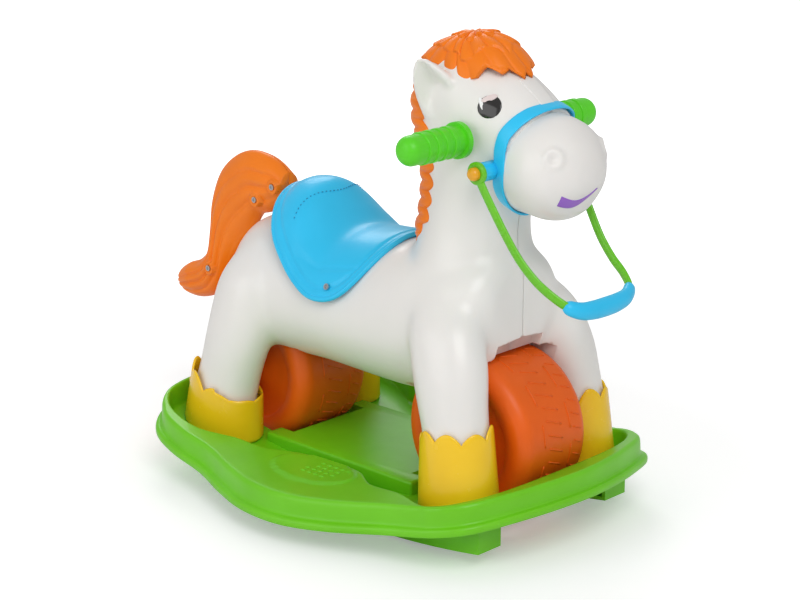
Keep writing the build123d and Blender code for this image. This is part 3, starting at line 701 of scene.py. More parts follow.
def make_noseband():
    """Blue band over the muzzle joint, with a round boss for each rein pin."""
    sizes = scene_sizes()
    count = 160
    path = []
    for t in turns(count):
        y = -225.0
        for _ in range(12):
            x, z = muzzle_point(t, y)
            y = 0.5 * y + 0.5 * float(np.interp(z, [p[1] for p in SEAM[::-1]],
                                                [p[0] for p in SEAM[::-1]]))
        head_x, head_z = lookup(SNOUT, y, 2), lookup(SNOUT, y, 3)
        spread = max(1.0, (head_x + 0.5) / lookup(MUZZLE, y, 2))
        rise = max(z, lookup(SNOUT, y, 1) + head_z * cos(t)) if cos(t) > 0 else z
        path.append(at(x * spread, y, rise))
    centre = at(0, -228, 465)
    rings = []
    for i, p in enumerate(path):
        along = (path[(i + 1) % count] - path[i - 1]).normalized()
        wide = Vector((0, -1, -0.35))
        wide = (wide - along * wide.dot(along)).normalized()
        out = along.cross(wide)
        if out.dot(p - centre) < 0:
            out = -out
        ring = []
        for k in turns(20):
            flat, thick = squared(cos(k), 0.45), squared(sin(k), 0.6)
            ring.append(tuple(p + wide * (flat * sizes.band_width / 2)
                              + out * (0.0006 + thick * sizes.band_thick / 2)))
        rings.append(ring)
    band = rings_mesh("band", rings, closed_along=True)
    bosses = []
    y, z = side_view(PIVOT)
    for side in (1, -1):
        bosses.append(turned("boss", ((50, 0), (50, 11.5), (77, 11.5), (79.5, 10.5), (80.1, 9),
                                      (80.1, 0)), side, y, z))
    mesh = join_meshes("noseband_strap", [band] + bosses)
    place(mesh, "noseband_strap", sky_blue(), "horse", "sky_blue", "noseband")


def turned(name, profile, side, y, z, count=48):
    """Turned form about an axis along X; the profile is (x, radius) in mm."""
    rings = []
    for x, radius in profile:
        rings.append([tuple(at(side * x, y + radius * cos(t), z + radius * sin(t)))
                      for t in turns(count)])
    return rings_mesh(name, rings, caps=False)


def skin_of(*names):
    """Search tree over finished pieces, for laying other pieces on them."""
    bm = bmesh.new()
    for name in names:
        bm.from_mesh(bpy.data.objects[name].data)
    tree = BVHTree.FromBMesh(bm)
    bm.free()
    return tree


def laid_on(name, skin, rows, aim, lift, sink=1.0):
    """Thin closed plate laid on a skin: rows of start points are cast along aim.

    lift gives the height over the skin in mm at (row share, column share)."""
    aim = Vector(aim).normalized()
    outer, inner = [], []
    for i, row in enumerate(rows):
        top, low = [], []
        for k, start in enumerate(row):
            hit, normal, _, _ = skin.ray_cast(Vector(start) - aim * 0.08, aim)
            if hit is None:
                raise RuntimeError(f"{name}: the skin was missed")
            if normal.dot(aim) > 0:
                normal = -normal
            height = lift(i / (len(rows) - 1), k / (len(row) - 1))
            top.append(tuple(hit + normal * (height * MM)))
            low.append(tuple(hit - normal * (sink * MM)))
        outer.append(top)
        inner.append(low)
    rings = [row + inner[i][::-1] for i, row in enumerate(outer)]
    return rings_mesh(name, rings)


def disc_rows(centre, aim, up, half_wide, half_high, count=24):
    """Start points that fill an ellipse facing against aim, row by row."""
    aim = Vector(aim).normalized()
    up = Vector(up)
    up = (up - aim * up.dot(aim)).normalized()
    wide = up.cross(aim)
    rows = []
    for a in np.linspace(-0.995, 0.995, count):
        reach = (1 - a * a) ** 0.5
        rows.append([centre + up * (a * half_high * MM) + wide * (b * reach * half_wide * MM)
                     for b in np.linspace(-1, 1, count)])
    return rows


def make_face():
    """Eyes with painted highlights, smile and the plate over the nose bridge, laid on the head.
    """
    skin = skin_of("body_left_shell", "body_right_shell")
    # Acrylic is the glossiest piece and mirrors the lamps; on it the pale pink top crescent and
    # the white glint are painted highlights, thin and satin.
    gloss = dict(rough=0.08, coat=0.8, cloud=0.02, grain=0.01)
    black = made("glossy_black_acrylic", scene_colours().black, **gloss)
    pearl = made("printed_pearl_ink", linear("#E9D8D6"), rough=0.3, coat=0.5, cloud=0.02)
    white = made("printed_white_ink", linear("#F6F6F6"), rough=0.25, coat=0.5, cloud=0.01)

    def dome(a, b):
        return 0.3 + 1.9 * (1 - (2 * a - 1) ** 2) * (1 - (2 * b - 1) ** 2)

    for side, word in ((1, "left"), (-1, "right")):
        aim = (-0.84 * side, 0.53, -0.1)
        up = (0, 0.45, 1)
        centre = at(side * 53, -194, 535)
        eye = laid_on("eye", skin, disc_rows(centre, aim, up, 15, 13), aim, dome)
        place(eye, f"eye_{word}_dome", black, "horse", "eye_black", f"eye_{word}")
        # Pale pink crescent over the top of the eye dome: a painted highlight.
        lid = disc_rows(centre + Vector((0, 0.001, 0.0092)), aim, up, 10.0, 3.4, 14)
        place(laid_on("lid", skin, lid, aim, lambda a, b: dome(0.85, 0.5) + 0.4, -0.4),
              f"eye_{word}_lid", pearl, "horse", "white")
        # White crescent at the back of the eye: a painted glint, a highlight on the glossy dome.
        back = at(side * 53, -182, 537.5)
        glint = disc_rows(back, aim, up, 2.2, 7.5, 14)
        place(laid_on("glint", skin, glint, aim, lambda a, b: 1.6, -0.2),
              f"eye_{word}_glint", white, "horse", "white")

    snout = skin_of("muzzle_cup")
    rows = []
    for share in np.linspace(0, 1, 40):
        x = -38 + 52 * share
        top = 443 - 9 * sin(pi * min(1, share * 1.05)) + 3 * share
        low = top - 1.2 - 12.5 * (1 - share) ** 0.8 * (0.9 + 0.1 * sin(pi * share))
        rows.append([at(x, -340, top + (low - top) * k) for k in np.linspace(0, 1, 10)])
    smile = laid_on("smile", snout, rows, (0, 1, 0), lambda a, b: 0.5)
    purple = made("printed_purple_ink", scene_colours().purple, rough=0.3, coat=0.3, cloud=0.05)
    place(smile, "smile", purple, "horse", "mouth_purple", "mouth_inlay")

    rows = []
    for share in np.linspace(0, 1, 26):
        y = -204 - 36 * share
        half = 13.5 - 2 * share
        rows.append([at(x, y, 640) for x in np.linspace(-half, half, 16)])
    plate = laid_on("plate", skin, rows, (0, 0, -1), lambda a, b: 0.7)
    place(plate, "bridge_plate", body_white(), "horse", "white", "bridge_cover")


# ---------------------------------------------------------------- mane, forelock and tail
def on_form(table, y, turn):
    """Point of an across-Y form at a turn from its top, and the outward direction."""
    half_x, half_z = lookup(table, y, 2), lookup(table, y, 3)
    x, z = half_x * sin(turn), lookup(table, y, 1) + half_z * cos(turn)
    out = Vector((sin(turn) / half_x, 0, cos(turn) / half_z)).normalized()
    return at(x, y, z), out


def make_forelock():
    """Orange cap of overlapping tufts with a jagged front edge."""
    table = [tuple(row) for row in smooth_curve(FORELOCK, 80)]
    rim = ((-213, 0), (-207, 22), (-197, 42), (-183, 60), (-167, 76), (-151, 91), (-139, 86),
           (-123, 76), (-104, 69), (-84, 64), (-64, 56), (-50, 36), (-42, 0))
    around = list(rim) + [(y, -turn) for y, turn in reversed(rim[1:-1])]
    edge = smooth_curve(around, 288, closed=True)
    rows = 64
    mid = np.array((-124.0, 0.0))
    outer, inner = [], []
    for i in range(rows + 1):
        r = max(0.004, i / rows)
        top, low = [], []
        for k, b in enumerate(edge):
            share = k / len(edge)
            teeth = 15 * share
            front = max(0.0, 1 - abs(((share + 0.5) % 1) - 0.5) / 0.24)
            jag = 0.10 * abs(2 * (teeth % 1) - 1) * min(1, 3 * front) * r ** 3
            y, turn = mid + (b - mid) * r * (1 - jag)
            p, out = on_form(table, float(y), radians(float(turn)))
            tier = r * 3.0 + 0.15 * sin(2 * pi * share * 7)
            step = 0.5 * (int(tier) % 2)
            u = (share * 15 + step + 0.25 * sin(5 * r)) % 1
            ridge = (1 - (2 * u - 1) ** 2) ** 0.7
            tuft = ridge * (0.35 + 0.65 * (tier % 1)) * min(1, 4 * r)
            top.append(tuple(p + out * ((4.2 * tuft - 4.4) * MM)))
            low.append(tuple(p - out * (7.5 * MM)))
        outer.append(top)
        inner.append(low)
    mesh = rings_mesh("forelock_cap", outer + inner[::-1])
    place(mesh, "forelock_cap", hair_orange(), "horse", "mane_orange", "forelock")


def make_neck_mane():
    """Orange strip of curls wrapped round the back of the neck."""
    table = [tuple(row) for row in smooth_curve(NECK, 120)]
    outer, inner = [], []
    for share in np.linspace(0, 1, 120):
        z = 566 - 216 * share
        middle, half_x, half_y = (lookup(table, z, k) for k in (1, 2, 3))
        lobe = abs(sin(pi * (share * 10 + 0.2))) ** 0.7
        spread = (56 + 12 * lobe - 22 * max(0.0, 1 - share * 5)
                  - 26 * max(0.0, share - 0.85) / 0.15)
        thin = min(1.0, 0.25 + 6 * share, 0.25 + 9 * (1 - share))
        top, low = [], []
        for k in np.linspace(-1, 1, 61):
            turn = radians(k * spread)
            curl = abs(sin(pi * (share * 10 + 0.2) + 2.2 * abs(k))) ** 0.6
            thick = (4.5 + 4.5 * curl) * thin * (1 - k ** 6)
            top.append(tuple(at((half_x + thick) * sin(turn),
                                middle + (half_y + thick) * cos(turn), z)))
            low.append(tuple(at((half_x - 5) * sin(turn), middle + (half_y - 5) * cos(turn),
                                z)))
        outer.append(top)
        inner.append(low)
    rings = [row + inner[i][::-1] for i, row in enumerate(outer)]
    mesh = rings_mesh("neck_mane_curls", rings)
    place(mesh, "neck_mane_curls", hair_orange(), "horse", "mane_orange", "neck_mane")


def make_tail():
    """Plump orange tail with strands along it, split into two shells."""
    outer, inner = smooth_curve(TAIL_OUTER, 150), smooth_curve(TAIL_INNER, 150)
    rings = []
    for i, (high, low) in enumerate(zip(outer, inner)):
        share = i / 149
        middle, arm = (high + low) / 2, (high - low) / 2
        thick = 21.5 * min(1.0, 0.78 + 1.5 * share, 0.35 + 4.0 * (1 - share))
        ring = []
        for t in turns(120):
            c, s = cos(t), sin(t)
            wave = c + 0.07 * sin(2 * pi * share * 1.6)
            strand = abs(sin(wave * 6.8)) ** 0.7
            swell = 1 - 0.22 * (1 - strand) * min(1.0, 6 * share) * abs(s)
            x = thick * s * swell * (1 - 0.12 * c * c)
            place_yz = middle + arm * c
            ring.append(tuple(at(x, place_yz[0], place_yz[1])))
        rings.append(ring)
    rings = np.array(rings)
    box_low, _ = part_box("tail_screws")
    for y, z in TAIL_SCREWS:
        spot = at(0, y, z)
        away = np.hypot(rings[:, :, 1] - spot.y, rings[:, :, 2] - spot.z)
        side = rings[:, :, 0] < -0.006
        boss = np.where(away < 0.0052, box_low[0] + 0.0022, box_low[0] + 0.0003)
        rings[:, :, 0] = np.where(side & (away < 0.0098), boss, rings[:, :, 0])
    tail = scratch(rings_mesh("tail_strands", rings))
    left, right = halves(tail, scene_sizes().seam)
    place(left, "tail_left_strands", hair_orange(), "horse", "mane_orange", "tail_left")
    place(right, "tail_right_strands", hair_orange(), "horse", "mane_orange", "tail_right")


# ---------------------------------------------------------------- saddle
def saddle_rim():
    """Rim of the saddle as (y, turn) pairs: a squarish oval, deeper towards the front."""
    front, back = SADDLE_ENDS
    rim = []
    for i in range(72):
        c, s = cos(tau * i / 72), sin(tau * i / 72)
        along, down = squared(c, 2 / SADDLE_SQUARE), squared(s, 2 / SADDLE_SQUARE)
        rim.append(((front + back) / 2 - (back - front) / 2 * along,
                    SADDLE_REACH * down * (1 + SADDLE_FORWARD * along)))
    return rim


def make_saddle():
    """Blue dished seat shell with a rolled rim, a sewn-look line of painted groove shade and
    flap creases.
    """
    table = [tuple(row) for row in smooth_curve(SADDLE, 90)]
    edge = smooth_curve(saddle_rim(), 240, closed=True)
    mid = np.array((70.0, 0.0))
    rows = 56
    top, low = [], []
    for i in range(rows + 1):
        r = max(0.005, i / rows)
        upper, under = [], []
        for b in edge:
            y, turn = mid + (b - mid) * r
            p, out = on_form(table, float(y), radians(float(turn)))
            dish = -3.5 * np.exp(-((y - 78) / 34) ** 2 - (turn / 26) ** 2)
            crease = -1.3 * np.exp(-((abs(turn) - 55 - 0.08 * (y - 60)) / 2.2) ** 2)
            crease *= float(np.clip((y + 14) / 20, 0, 1) * np.clip((112 - y) / 20, 0, 1))
            inset = -1.6 * np.exp(-((r - 0.90) / 0.022) ** 2)
            rim_up = 1.4 * float(np.clip((r - 0.9) / 0.06, 0, 1))
            upper.append(tuple(p + out * ((dish + crease + inset + rim_up - 1.6) * MM)))
            under.append(tuple(p + out * ((min(0, dish) - 4.4) * MM)))
        top.append(upper)
        low.append(under)
    shell = rings_mesh("seat", top + low[::-1])
    bead_path = []
    for b in edge:
        p, out = on_form(table, float(b[0]), radians(float(b[1])))
        bead_path.append(p - out * (1.9 * MM))
    radius = scene_sizes().bead
    bead = tube("bead", bead_path, [radius] * len(bead_path), across=(0, 0, 1), closed=True,
                round_points=16)
    place(join_meshes("saddle_shell", [shell, bead]), "saddle_shell", sky_blue(), "horse",
          "sky_blue", "saddle")
    stitches = []
    line = np.array([(STITCH_MIDDLE + STITCH_SWING * (1 - cos(radians(5 * turn))) / 2, turn)
                     for turn in np.linspace(45, -45, 61)])
    for i in range(0, 60, 2):
        ends = []
        for y, turn in (line[i], line[i] * 0.35 + line[i + 1] * 0.65):
            p, out = on_form(table, float(y), radians(float(turn)))
            ends.append(p - out * (1.35 * MM))
        stitches.append(tube("stitch", ends, [0.0007, 0.0007], round_points=8))
    # The moulded grooves of the sewn line are drawn as darker blue dashes: painted shade in the
    # grooves.
    shade = made("shaded_blue_groove", linear("#1E93C2"), rough=0.4, coat=0.1)
    place(join_meshes("saddle_stitch_marks", stitches), "saddle_stitch_marks", shade, "horse",
          "sky_blue")


# ---------------------------------------------------------------- rein
def rein_line():
    """Centre line of the rein from the right pivot round the front to the left one."""
    half = ((83.5, -204, 463), (83.0, -211, 449), (81.0, -226, 424), (78.0, -244, 395),
            (74.5, -263, 368), (71.0, -284, 347), (67.0, -304, 333), (58.0, -321, 321),
            (42.0, -329, 314), (22.0, -331.5, 311.5), (0.0, -332, 311))
    whole = [(-x, y, z) for x, y, z in half] + [(x, y, z) for x, y, z in reversed(half[:-1])]
    return [at(*p) for p in smooth_curve(whole, 181)]


def make_rein():
    """Green rein with its two eyelets, and the blue sleeve on its front."""
    line = rein_line()
    radius = scene_sizes().rein_radius
    arm = tube("arm", line, [(0.0031, radius)] * len(line), across=(1, 0, 0))
    y, z = side_view(PIVOT)
    eyelets = [turned("eyelet", ((80.5, 4.1), (80.5, 12.6), (81.5, 13.6), (85.5, 13.6),
                                 (86.5, 12.6), (86.5, 4.1), (80.5, 4.1)), side, y, z)
               for side in (1, -1)]
    # Polypropylene looks slick and slightly soft-edged in its highlights.
    green = made("injection_moulded_rein_polypropylene", scene_colours().rein, rough=0.26,
                 coat=0.3, cloud=0.05, grain=0.03)
    place(join_meshes("rein_arms", [arm] + eyelets), "rein_arms", green, "rein", "rein_green",
          "rein_hoop")
    grip = line[62:119]
    radii = []
    for i in range(len(grip)):
        share = abs(2 * i / (len(grip) - 1) - 1)
        swell = 1 - 0.32 * share ** 2
        end = 1 - max(0.0, (share - 0.9) / 0.1) ** 2 * 0.3
        radii.append((0.0094 * swell * end, 0.0118 * swell * end))
    sleeve = tube("rein_sleeve", grip, radii, across=(0, 1, 0), round_points=32)
    place(sleeve, "rein_sleeve", sky_blue(), "rein", "sky_blue", "rein_grip")


# ---------------------------------------------------------------- hooves and wheels
# hooves: centre, half sizes, (lean, taper) over the height, and the top edge's height by angle
HOOVES = {
    "front": ((111, -206), (45.5, 55), (8, 0.135), (
        (-180, 139), (-150, 150), (-120, 160), (-90, 158), (-60, 155), (-30, 155), (0, 154),
        (30, 150), (60, 141), (90, 132), (120, 130), (150, 134), (180, 139))),
    "rear": ((111, 224), (45.5, 64), (-12, 0.19), (
        (-180, 112), (-150, 106), (-120, 104), (-90, 104), (-60, 104), (-30, 112), (0, 120),
        (30, 131), (60, 139), (90, 141), (120, 134), (150, 122), (180, 112))),
}


def hoof_point(where, turn, level, inset=0.0):
    """Point of a hoof cup's wall, which tapers and leans in to the leg as it rises."""
    (cx, cy), (half_x, half_y), (lean, taper), _ = HOOVES[where]
    rise = (level - 40) / 110
    return at(cx - 3 * rise + (half_x * (1 - 0.1 * rise) - inset) * cos(turn),
              cy + lean * rise + (half_y * (1 - taper * rise) - inset) * sin(turn), level)


def hoof_rings(where):
    """Rings of a hoof cup from its sole up, over the waved edge and down inside."""
    (_, cy), (_, half_y), _, edge = HOOVES[where]
    wave = scene_sizes().scallop / MM
    angles = np.linspace(-180, 180, 168, endpoint=False)
    waves = 8
    tops = []
    for a in angles:
        base = float(np.interp(a, [e[0] for e in edge], [e[1] for e in edge]))
        swing = abs(sin(radians(a) * waves / 2))
        strength = 1.0 if where == "front" or a > -20 or a < -160 else 0.25
        tops.append(base + wave * strength * (swing ** 0.8 - 0.55))

    def ring(inset, height):
        points = []
        for a, top in zip(angles, tops):
            level = height(top)
            floor = 34.5 + sweep(cy + half_y * sin(radians(a)))
            level = max(level, floor)
            points.append(tuple(hoof_point(where, radians(a), level, inset)))
        return points

    rings = [ring(4.0, lambda top: 0), ring(1.2, lambda top: 0), ring(0.2, lambda top: 48)]
    rings += [ring(0, lambda top, s=s: 50 + (top - 53) * s) for s in np.linspace(0, 1, 20)]
    rings += [ring(0.5, lambda top: top - 1.2), ring(1.6, lambda top: top - 0.2),
              ring(3.0, lambda top: top - 1.4), ring(3.4, lambda top: top - 6),
              ring(3.6, lambda top: 70), ring(5.0, lambda top: 60)]
    return rings


def make_hooves():
    """Four yellow hoof cups with waved edges and a small raised loop."""
    for where in HOOVES:
        cup = rings_mesh("cup", hoof_rings(where))
        turn = radians(112 if where == "front" else 60)
        high = 132 if where == "front" else 118
        loop = []
        for s in np.linspace(-1, 1, 25):
            bend = turn + s * 0.11 * (1 if abs(s) < 0.9 else 0.98)
            drop = 7 * (1 - s * s) ** 0.5
            loop.append(hoof_point(where, bend, high - drop))
        emboss = tube("loop", loop, [0.0011] * 25, across=(0, 0, 1), round_points=10)
        left = join_meshes("hoof", [cup, emboss])
        place(mirrored(left, "hoof_far"), f"hoof_{where}_right_cup", hoof_yellow(), "horse",
              "hoof_yellow", f"hoof_{where}_right")
        place(left, f"hoof_{where}_left_cup", hoof_yellow(), "horse", "hoof_yellow",
              f"hoof_{where}_left")


def make_wheel(word, axle):
    """Fat orange wheel with raised tread marks."""
    y, z = side_view(axle)
    profile = [(-60, 6.2), (-60, 13), (-56.5, 16), (-54, 62), (-56.5, 66), (-60, 67)]
    for k in np.linspace(0, 1, 10):
        profile.append((-42 - 18 * cos(k * pi / 2), 82 + 17.6 * sin(k * pi / 2)))
    profile += [(-20, 99.9), (0, 100)]
    profile += [(-x, r) for x, r in reversed(profile[:-1])]
    profile = profile + [profile[0]]
    tyre = turned("tyre", profile, 1, y, z, 144)
    marks = []

    def mark(points, thick=0.0011):
        path = []
        for x, angle in points:
            t = radians(angle)
            path.append(at(x, y + 99.9 * cos(t), z + 99.9 * sin(t)))
        marks.append(tube("mark", path, [(thick, thick)] * len(path), across=(1, 0, 0),
                          round_points=8))

    for n in range(12):
        base = n * 30
        mark([(24, base + s) for s in np.linspace(2, 20, 7)])
        mark([(-24, base + s) for s in np.linspace(12, 28, 7)])
        for k, lean in enumerate((0, 10, 20)):
            mark([(-16 + 24 * s, base + lean + 5 * s) for s in np.linspace(0, 1, 5)])
            mark([(30 + 12 * s, base + lean + 3 * s) for s in np.linspace(0, 1, 4)], 0.0008)
        for x, turn in ((-16, 0), (8, 5), (-16, 20), (8, 25)):
            mark([(x - 0.8, base + turn), (x + 0.8, base + turn)], 0.002)
    mesh = join_meshes(f"{word}_wheel_tyre", [tyre] + marks)
    place(mesh, f"{word}_wheel_tyre", wheel_orange(), f"{word}_wheel_body", "wheel_orange",
          f"{word}_wheel")


# ---------------------------------------------------------------- rocker
def rocker_row(loop, level):
    """One closed row of the rocker's skin, following the rim's long sweep."""
    return [tuple(at(x, y, level + sweep(y))) for x, y in loop]


def pad_height(x, y):
    """Rise of the oval foot pads on the rim, in mm."""
    reach = (((abs(x) - 158) / 40) ** 2 + ((y + 2) / 64) ** 2) ** 0.5
    return 1.8 * float(np.clip((1.0 - reach) / 0.045, 0, 1))


def make_rocker():
    """Green rocker tub: rolled skirt, stepped rim, foot pads, platform and wheel slots."""
    skirt, pocket = reach_of(SKIRT), reach_of(POCKET)
    narrow = np.minimum(1.0, (skirt - pocket) / 24)

    def rim(inset, level):
        return rocker_row(radial(skirt - inset * narrow), level)

    def hole(outset, level, share=1.0):
        return rocker_row(radial(pocket + outset * narrow) * share, level)

    rows = [rim(inset, level) for inset, level in (
        (3.5, 27.5), (2.2, 26.2), (0.8, 26.6), (0.2, 28), (0, 30.5), (0.3, 33), (1.2, 35),
        (2.8, 36.2), (5.0, 36.8), (7.0, 37.2), (8.3, 38.2), (9.2, 40.5), (9.6, 45),
        (9.9, 52), (10.4, 57), (11.4, 60.2), (13.2, 62.2), (15.8, 63))]
    rim_out, rim_in = radial(skirt - 15.8 * narrow), radial(pocket + 4.5 * narrow)
    for share in np.linspace(0, 1, 26)[1:]:
        loop = rim_out * (1 - share) + rim_in * share
        rows.append([tuple(at(x, y, 63 + sweep(y) + pad_height(x, y))) for x, y in loop])
    rows += [hole(outset, level) for outset, level in (
        (2.2, 62.4), (0.8, 61), (0.1, 58.5), (0, 54), (0, 46), (-0.3, 38), (-1.6, 34.6),
        (-4.5, 33.2))]
    rows += [hole(-4.5, 33, share) for share in (0.94, 0.85, 0.7, 0.5, 0.3, 0.12)]
    rows += [hole(-4.5, 29.5, share) for share in (0.12, 0.5, 0.85)]
    rows += [hole(2.0, 29.5), hole(3.8, 31.5), hole(4.0, 54), hole(5.5, 59), rim(17, 59.2),
             rim(13.5, 56), rim(12.6, 40.5), rim(4.5, 33)]
    tub = scratch(rings_mesh("rocker_tub", rows, closed_along=True))
    deck = scratch(deck_mesh())
    bevel = deck.modifiers.new("soft", "BEVEL")
    bevel.width = 0.004
    bevel.segments = 4
    applied(deck)
    carve(tub, [deck.data.copy()], "UNION")
    bpy.data.objects.remove(deck)
    for axle in (FRONT_AXLE, REAR_AXLE):
        carve(tub, [barrel("slot", *side_view(axle), ROOM_RADIUS, -ROOM_HALF, ROOM_HALF)])
    tub.data.shade_smooth()
    sharpen(tub.data, 40)
    place(tub, "rocker_tub", rocker_green(), "rocker", "base_green", "rocker_base")
    drops = []
    for side in (1, -1):
        for i in range(4):
            for k in range(5 - (i % 2)):
                x = 136 + 11 * i
                yy = -46 + 11 * k + 5.5 * (i % 2) + 3 * i
                top = at(side * x, yy, 64.6 + sweep(yy))
                tip = top + Vector((side * 0.003, 0.0065, 0))
                drops.append(tube("drop", [top + (tip - top) * s for s in np.linspace(0, 1, 7)],
                                  [(0.0014 * g, 0.0026 * g) for g in
                                   (0.3, 0.85, 1, 0.95, 0.75, 0.45, 0.15)], across=(0, 0, 1),
                                  round_points=12))
    place(join_meshes("foot_pad_drops", drops), "foot_pad_drops", rocker_green(), "rocker",
          "base_green")


def deck_mesh():
    """Plain block of the platform between the wheels, sunk into the tub's floor."""
    bm = bmesh.new()
    bmesh.ops.create_cube(bm, size=1.0)
    low, high = at(-91, -106, 31.5), at(91, 160, 55)
    bmesh.ops.scale(bm, vec=high - low, verts=bm.verts)
    bmesh.ops.translate(bm, vec=(low + high) / 2, verts=bm.verts)
    mesh = bpy.data.meshes.new("deck")
    bm.to_mesh(mesh)
    bm.free()
    return mesh


def sharpen(mesh, degrees_limit):
    """Smooth shading with hard edges where two faces meet at a wide angle."""
    mesh.set_sharp_from_angle(angle=radians(degrees_limit))


# ---------------------------------------------------------------- fittings kept from the frame
def finish_fittings():
    """Give the frame's own grips, caps, runners and steel parts their materials."""
    # Soft rubber scatters the light and stays dull; the hard amber caps shine.
    rubber = made("soft_moulded_grip_rubber", scene_colours().grip, rough=0.38, coat=0.1,
                  cloud=0.05, grain=0.08)
    amber = made("injection_moulded_amber_abs", scene_colours().amber, rough=0.18, coat=0.5,
                 cloud=0.05, grain=0.02)
    steel = zinc_steel()
    kept = {rubber: ("grip_left", "grip_right"), amber: ("rein_cap_left", "rein_cap_right"),
            rocker_green(): ("runner_left", "runner_right"),
            steel: ("handle_bar", "front_axle", "rear_axle", "front_axle_clips",
                    "rear_axle_clips", "rein_pins", "saddle_screws", "tail_screws")}
    for material, nodes in kept.items():
        for node in nodes:
            obj = frame["nodes"][node]
            for i in range(max(1, len(obj.material_slots))):
                if not obj.material_slots:
                    obj.data.materials.append(material)
                obj.material_slots[i].material = material


# ---------------------------------------------------------------- stage
CAMERA_AT = (-1849.2, -1787.3, 1014.7)
CAMERA_AIM = (0.68908, 0.66633, -0.28488)
LENS_MM, SENSOR_MM = 94.5, 36.0
# lamps: name, place in metres, width, watts
LAMPS = (("key", (-1.6, -2.4, 2.9), 2.0, 50), ("fill", (-3.2, 0.6, 1.5), 2.4, 22),
         ("rim", (1.8, 2.2, 2.4), 1.6, 26))


def make_stage():
    """Pale floor, soft lamps, plain world and the camera."""
    mesh = bpy.data.meshes.new("floor")
    size = 14.0
    mesh.from_pydata([(-size, -size, 0), (size, -size, 0), (size, size, 0), (-size, size, 0)],
                     [], [(0, 1, 2, 3)])
    floor = scratch(mesh)
    floor.location.z = CAD_BOX[0][2] - 0.0005
    paint = bpy.data.materials.new("matt_white_paper")
    paint.use_nodes = True
    tree = paint.node_tree
    tree.nodes.clear()
    path = add_node(tree, "ShaderNodeLightPath", (-600, 200))
    cloth = add_node(tree, "ShaderNodeBsdfDiffuse", (-300, 0), Color=(0.9, 0.9, 0.9, 1))
    point = add_node(tree, "ShaderNodeNewGeometry", (-900, -200))
    away = add_node(tree, "ShaderNodeVectorMath", (-700, -200),
                    {"Vector": point.outputs["Position"]}, operation="LENGTH")
    lift = add_node(tree, "ShaderNodeMapRange", (-500, -200), {"Value": away.outputs["Value"]},
                    From_Min=0.5, From_Max=1.6, To_Min=0.30, To_Max=0.75)
    glow = add_node(tree, "ShaderNodeEmission", (-300, -200),
                    {"Strength": lift.outputs["Result"]}, Color=(1, 1, 1, 1))
    both = add_node(tree, "ShaderNodeAddShader", (-100, -100))
    tree.links.new(cloth.outputs[0], both.inputs[0])
    tree.links.new(glow.outputs[0], both.inputs[1])
    pick = add_node(tree, "ShaderNodeMixShader", (80, 0),
                    {"Fac": path.outputs["Is Camera Ray"]})
    tree.links.new(cloth.outputs[0], pick.inputs[1])
    tree.links.new(both.outputs[0], pick.inputs[2])
    out = add_node(tree, "ShaderNodeOutputMaterial", (300, 0))
    tree.links.new(pick.outputs[0], out.inputs["Surface"])
    mesh.materials.append(paint)

    world = bpy.data.worlds.new("studio")
    bpy.context.scene.world = world
    world.use_nodes = True
    tree = world.node_tree
    tree.nodes.clear()
    path = add_node(tree, "ShaderNodeLightPath", (-600, 0))
    level = add_node(tree, "ShaderNodeMapRange", (-200, 0),
                     {"Value": path.outputs["Is Camera Ray"]}, To_Min=0.47, To_Max=1.0)
    sky = add_node(tree, "ShaderNodeBackground", (0, 0), {"Strength": level.outputs["Result"]},
                   Color=(1, 1, 1, 1))
    out = add_node(tree, "ShaderNodeOutputWorld", (200, 0))
    tree.links.new(sky.outputs[0], out.inputs["Surface"])

    target = Vector((0, ROCKER_Y, 0.28))
    for name, spot, width, power in LAMPS:
        lamp = bpy.data.lights.new(name, "AREA")
        lamp.size = width
        lamp.energy = power
        obj = bpy.data.objects.new(name, lamp)
        obj.location = spot
        obj.rotation_euler = (target - Vector(spot)).to_track_quat("-Z", "Y").to_euler()
        bpy.context.collection.objects.link(obj)

    lens = bpy.data.cameras.new("camera")
    lens.lens = LENS_MM
    lens.sensor_width = SENSOR_MM
    camera = bpy.data.objects.new("camera", lens)
    camera.location = at(*CAMERA_AT)
    camera.rotation_euler = Vector(CAMERA_AIM).to_track_quat("-Z", "Y").to_euler()
    bpy.context.collection.objects.link(camera)
    bpy.context.scene.camera = camera
    bpy.context.scene.view_settings.view_transform = "Standard"


# ---------------------------------------------------------------- operators
class ObjectOperator(bpy.types.Operator):
    """Base of the operators: an undoable step that makes some of the pieces"""
    bl_options = {"REGISTER", "UNDO"}


class HORSE_OT_body(ObjectOperator):
    """Make the white body in its two shells"""
    bl_idname = "horse.body"
    bl_label = "Body"

    def execute(self, context):
        make_body()
        return {"FINISHED"}


class HORSE_OT_muzzle(ObjectOperator):
    """Make the muzzle cup and the blue noseband"""
    bl_idname = "horse.muzzle"
    bl_label = "Muzzle and noseband"

    def execute(self, context):
        make_muzzle()
        make_noseband()
        return {"FINISHED"}


class HORSE_OT_face(ObjectOperator):
    """Lay the eyes with their painted highlights, the smile and the bridge plate on the finished
    body and muzzle
    """
    bl_idname = "horse.face"
    bl_label = "Face"

    def execute(self, context):
        make_face()
        return {"FINISHED"}


class HORSE_OT_hair(ObjectOperator):
    """Make the forelock, the neck mane and the tail"""
    bl_idname = "horse.hair"
    bl_label = "Mane and tail"

    def execute(self, context):
        make_forelock()
        make_neck_mane()
        make_tail()
        return {"FINISHED"}


class HORSE_OT_saddle(ObjectOperator):
    """Make the saddle shell and its stitch marks of painted groove shade"""
    bl_idname = "horse.saddle"
    bl_label = "Saddle"

    def execute(self, context):
        make_saddle()
        return {"FINISHED"}


class HORSE_OT_rein(ObjectOperator):
    """Make the rein and its sleeve"""
    bl_idname = "horse.rein"
    bl_label = "Rein"

    def execute(self, context):
        make_rein()
        return {"FINISHED"}


class HORSE_OT_hooves(ObjectOperator):
    """Make the four hoof cups"""
    bl_idname = "horse.hooves"
    bl_label = "Hooves"

    def execute(self, context):
        make_hooves()
        return {"FINISHED"}


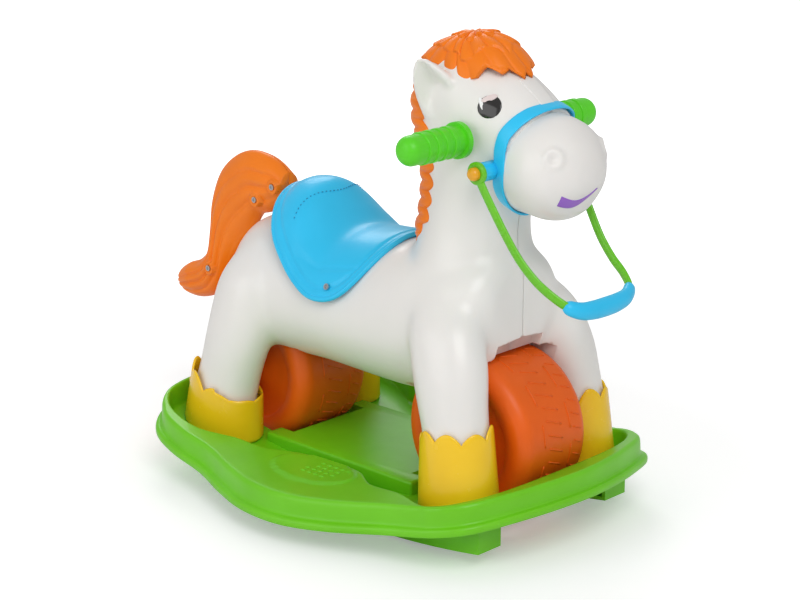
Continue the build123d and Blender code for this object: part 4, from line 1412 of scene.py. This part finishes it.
class HORSE_OT_wheels(ObjectOperator):
    """Make the front and the rear wheel"""
    bl_idname = "horse.wheels"
    bl_label = "Wheels"

    def execute(self, context):
        make_wheel("front", FRONT_AXLE)
        make_wheel("rear", REAR_AXLE)
        return {"FINISHED"}


class HORSE_OT_rocker(ObjectOperator):
    """Make the rocker tub with its foot pads"""
    bl_idname = "horse.rocker"
    bl_label = "Rocker"

    def execute(self, context):
        make_rocker()
        return {"FINISHED"}


class HORSE_OT_fittings(ObjectOperator):
    """Give the grips, caps, runners, axles, clips, pins and screws their materials"""
    bl_idname = "horse.fittings"
    bl_label = "Fittings"

    def execute(self, context):
        finish_fittings()
        return {"FINISHED"}


class HORSE_OT_stage(ObjectOperator):
    """Make the floor, the lamps, the world and the camera"""
    bl_idname = "horse.stage"
    bl_label = "Stage"

    def execute(self, context):
        make_stage()
        return {"FINISHED"}


STEPS = (HORSE_OT_body, HORSE_OT_muzzle, HORSE_OT_face, HORSE_OT_hair, HORSE_OT_saddle,
         HORSE_OT_rein, HORSE_OT_hooves, HORSE_OT_wheels, HORSE_OT_rocker, HORSE_OT_fittings,
         HORSE_OT_stage)


class HORSE_PT_panel(bpy.types.Panel):
    """Sidebar panel with the settings and one button per step"""
    bl_idname = "HORSE_PT_panel"
    bl_label = "Rocking horse"
    bl_space_type = "VIEW_3D"
    bl_region_type = "UI"
    bl_category = "Rocking horse"

    def draw(self, context):
        layout = self.layout
        for group in (context.scene.horse_colours, context.scene.horse_sizes):
            box = layout.box()
            for name in group.bl_rna.properties.keys():
                if name not in {"rna_type", "name"}:
                    box.prop(group, name)
        for step in STEPS:
            layout.operator(step.bl_idname)


CLASSES = (HorseColours, HorseSizes) + STEPS + (HORSE_PT_panel,)


def register():
    for cls in CLASSES:
        bpy.utils.register_class(cls)
    bpy.types.Scene.horse_colours = PointerProperty(type=HorseColours)
    bpy.types.Scene.horse_sizes = PointerProperty(type=HorseSizes)


def unregister():
    del bpy.types.Scene.horse_sizes
    del bpy.types.Scene.horse_colours
    for cls in reversed(CLASSES):
        bpy.utils.unregister_class(cls)


def main():
    """Make the whole horse."""
    register()
    bpy.ops.horse.body()
    bpy.ops.horse.muzzle()
    bpy.ops.horse.face()
    bpy.ops.horse.hair()
    bpy.ops.horse.saddle()
    bpy.ops.horse.rein()
    bpy.ops.horse.hooves()
    bpy.ops.horse.wheels()
    bpy.ops.horse.rocker()
    bpy.ops.horse.fittings()
    bpy.ops.horse.stage()


if __name__ == "__main__":
    main()
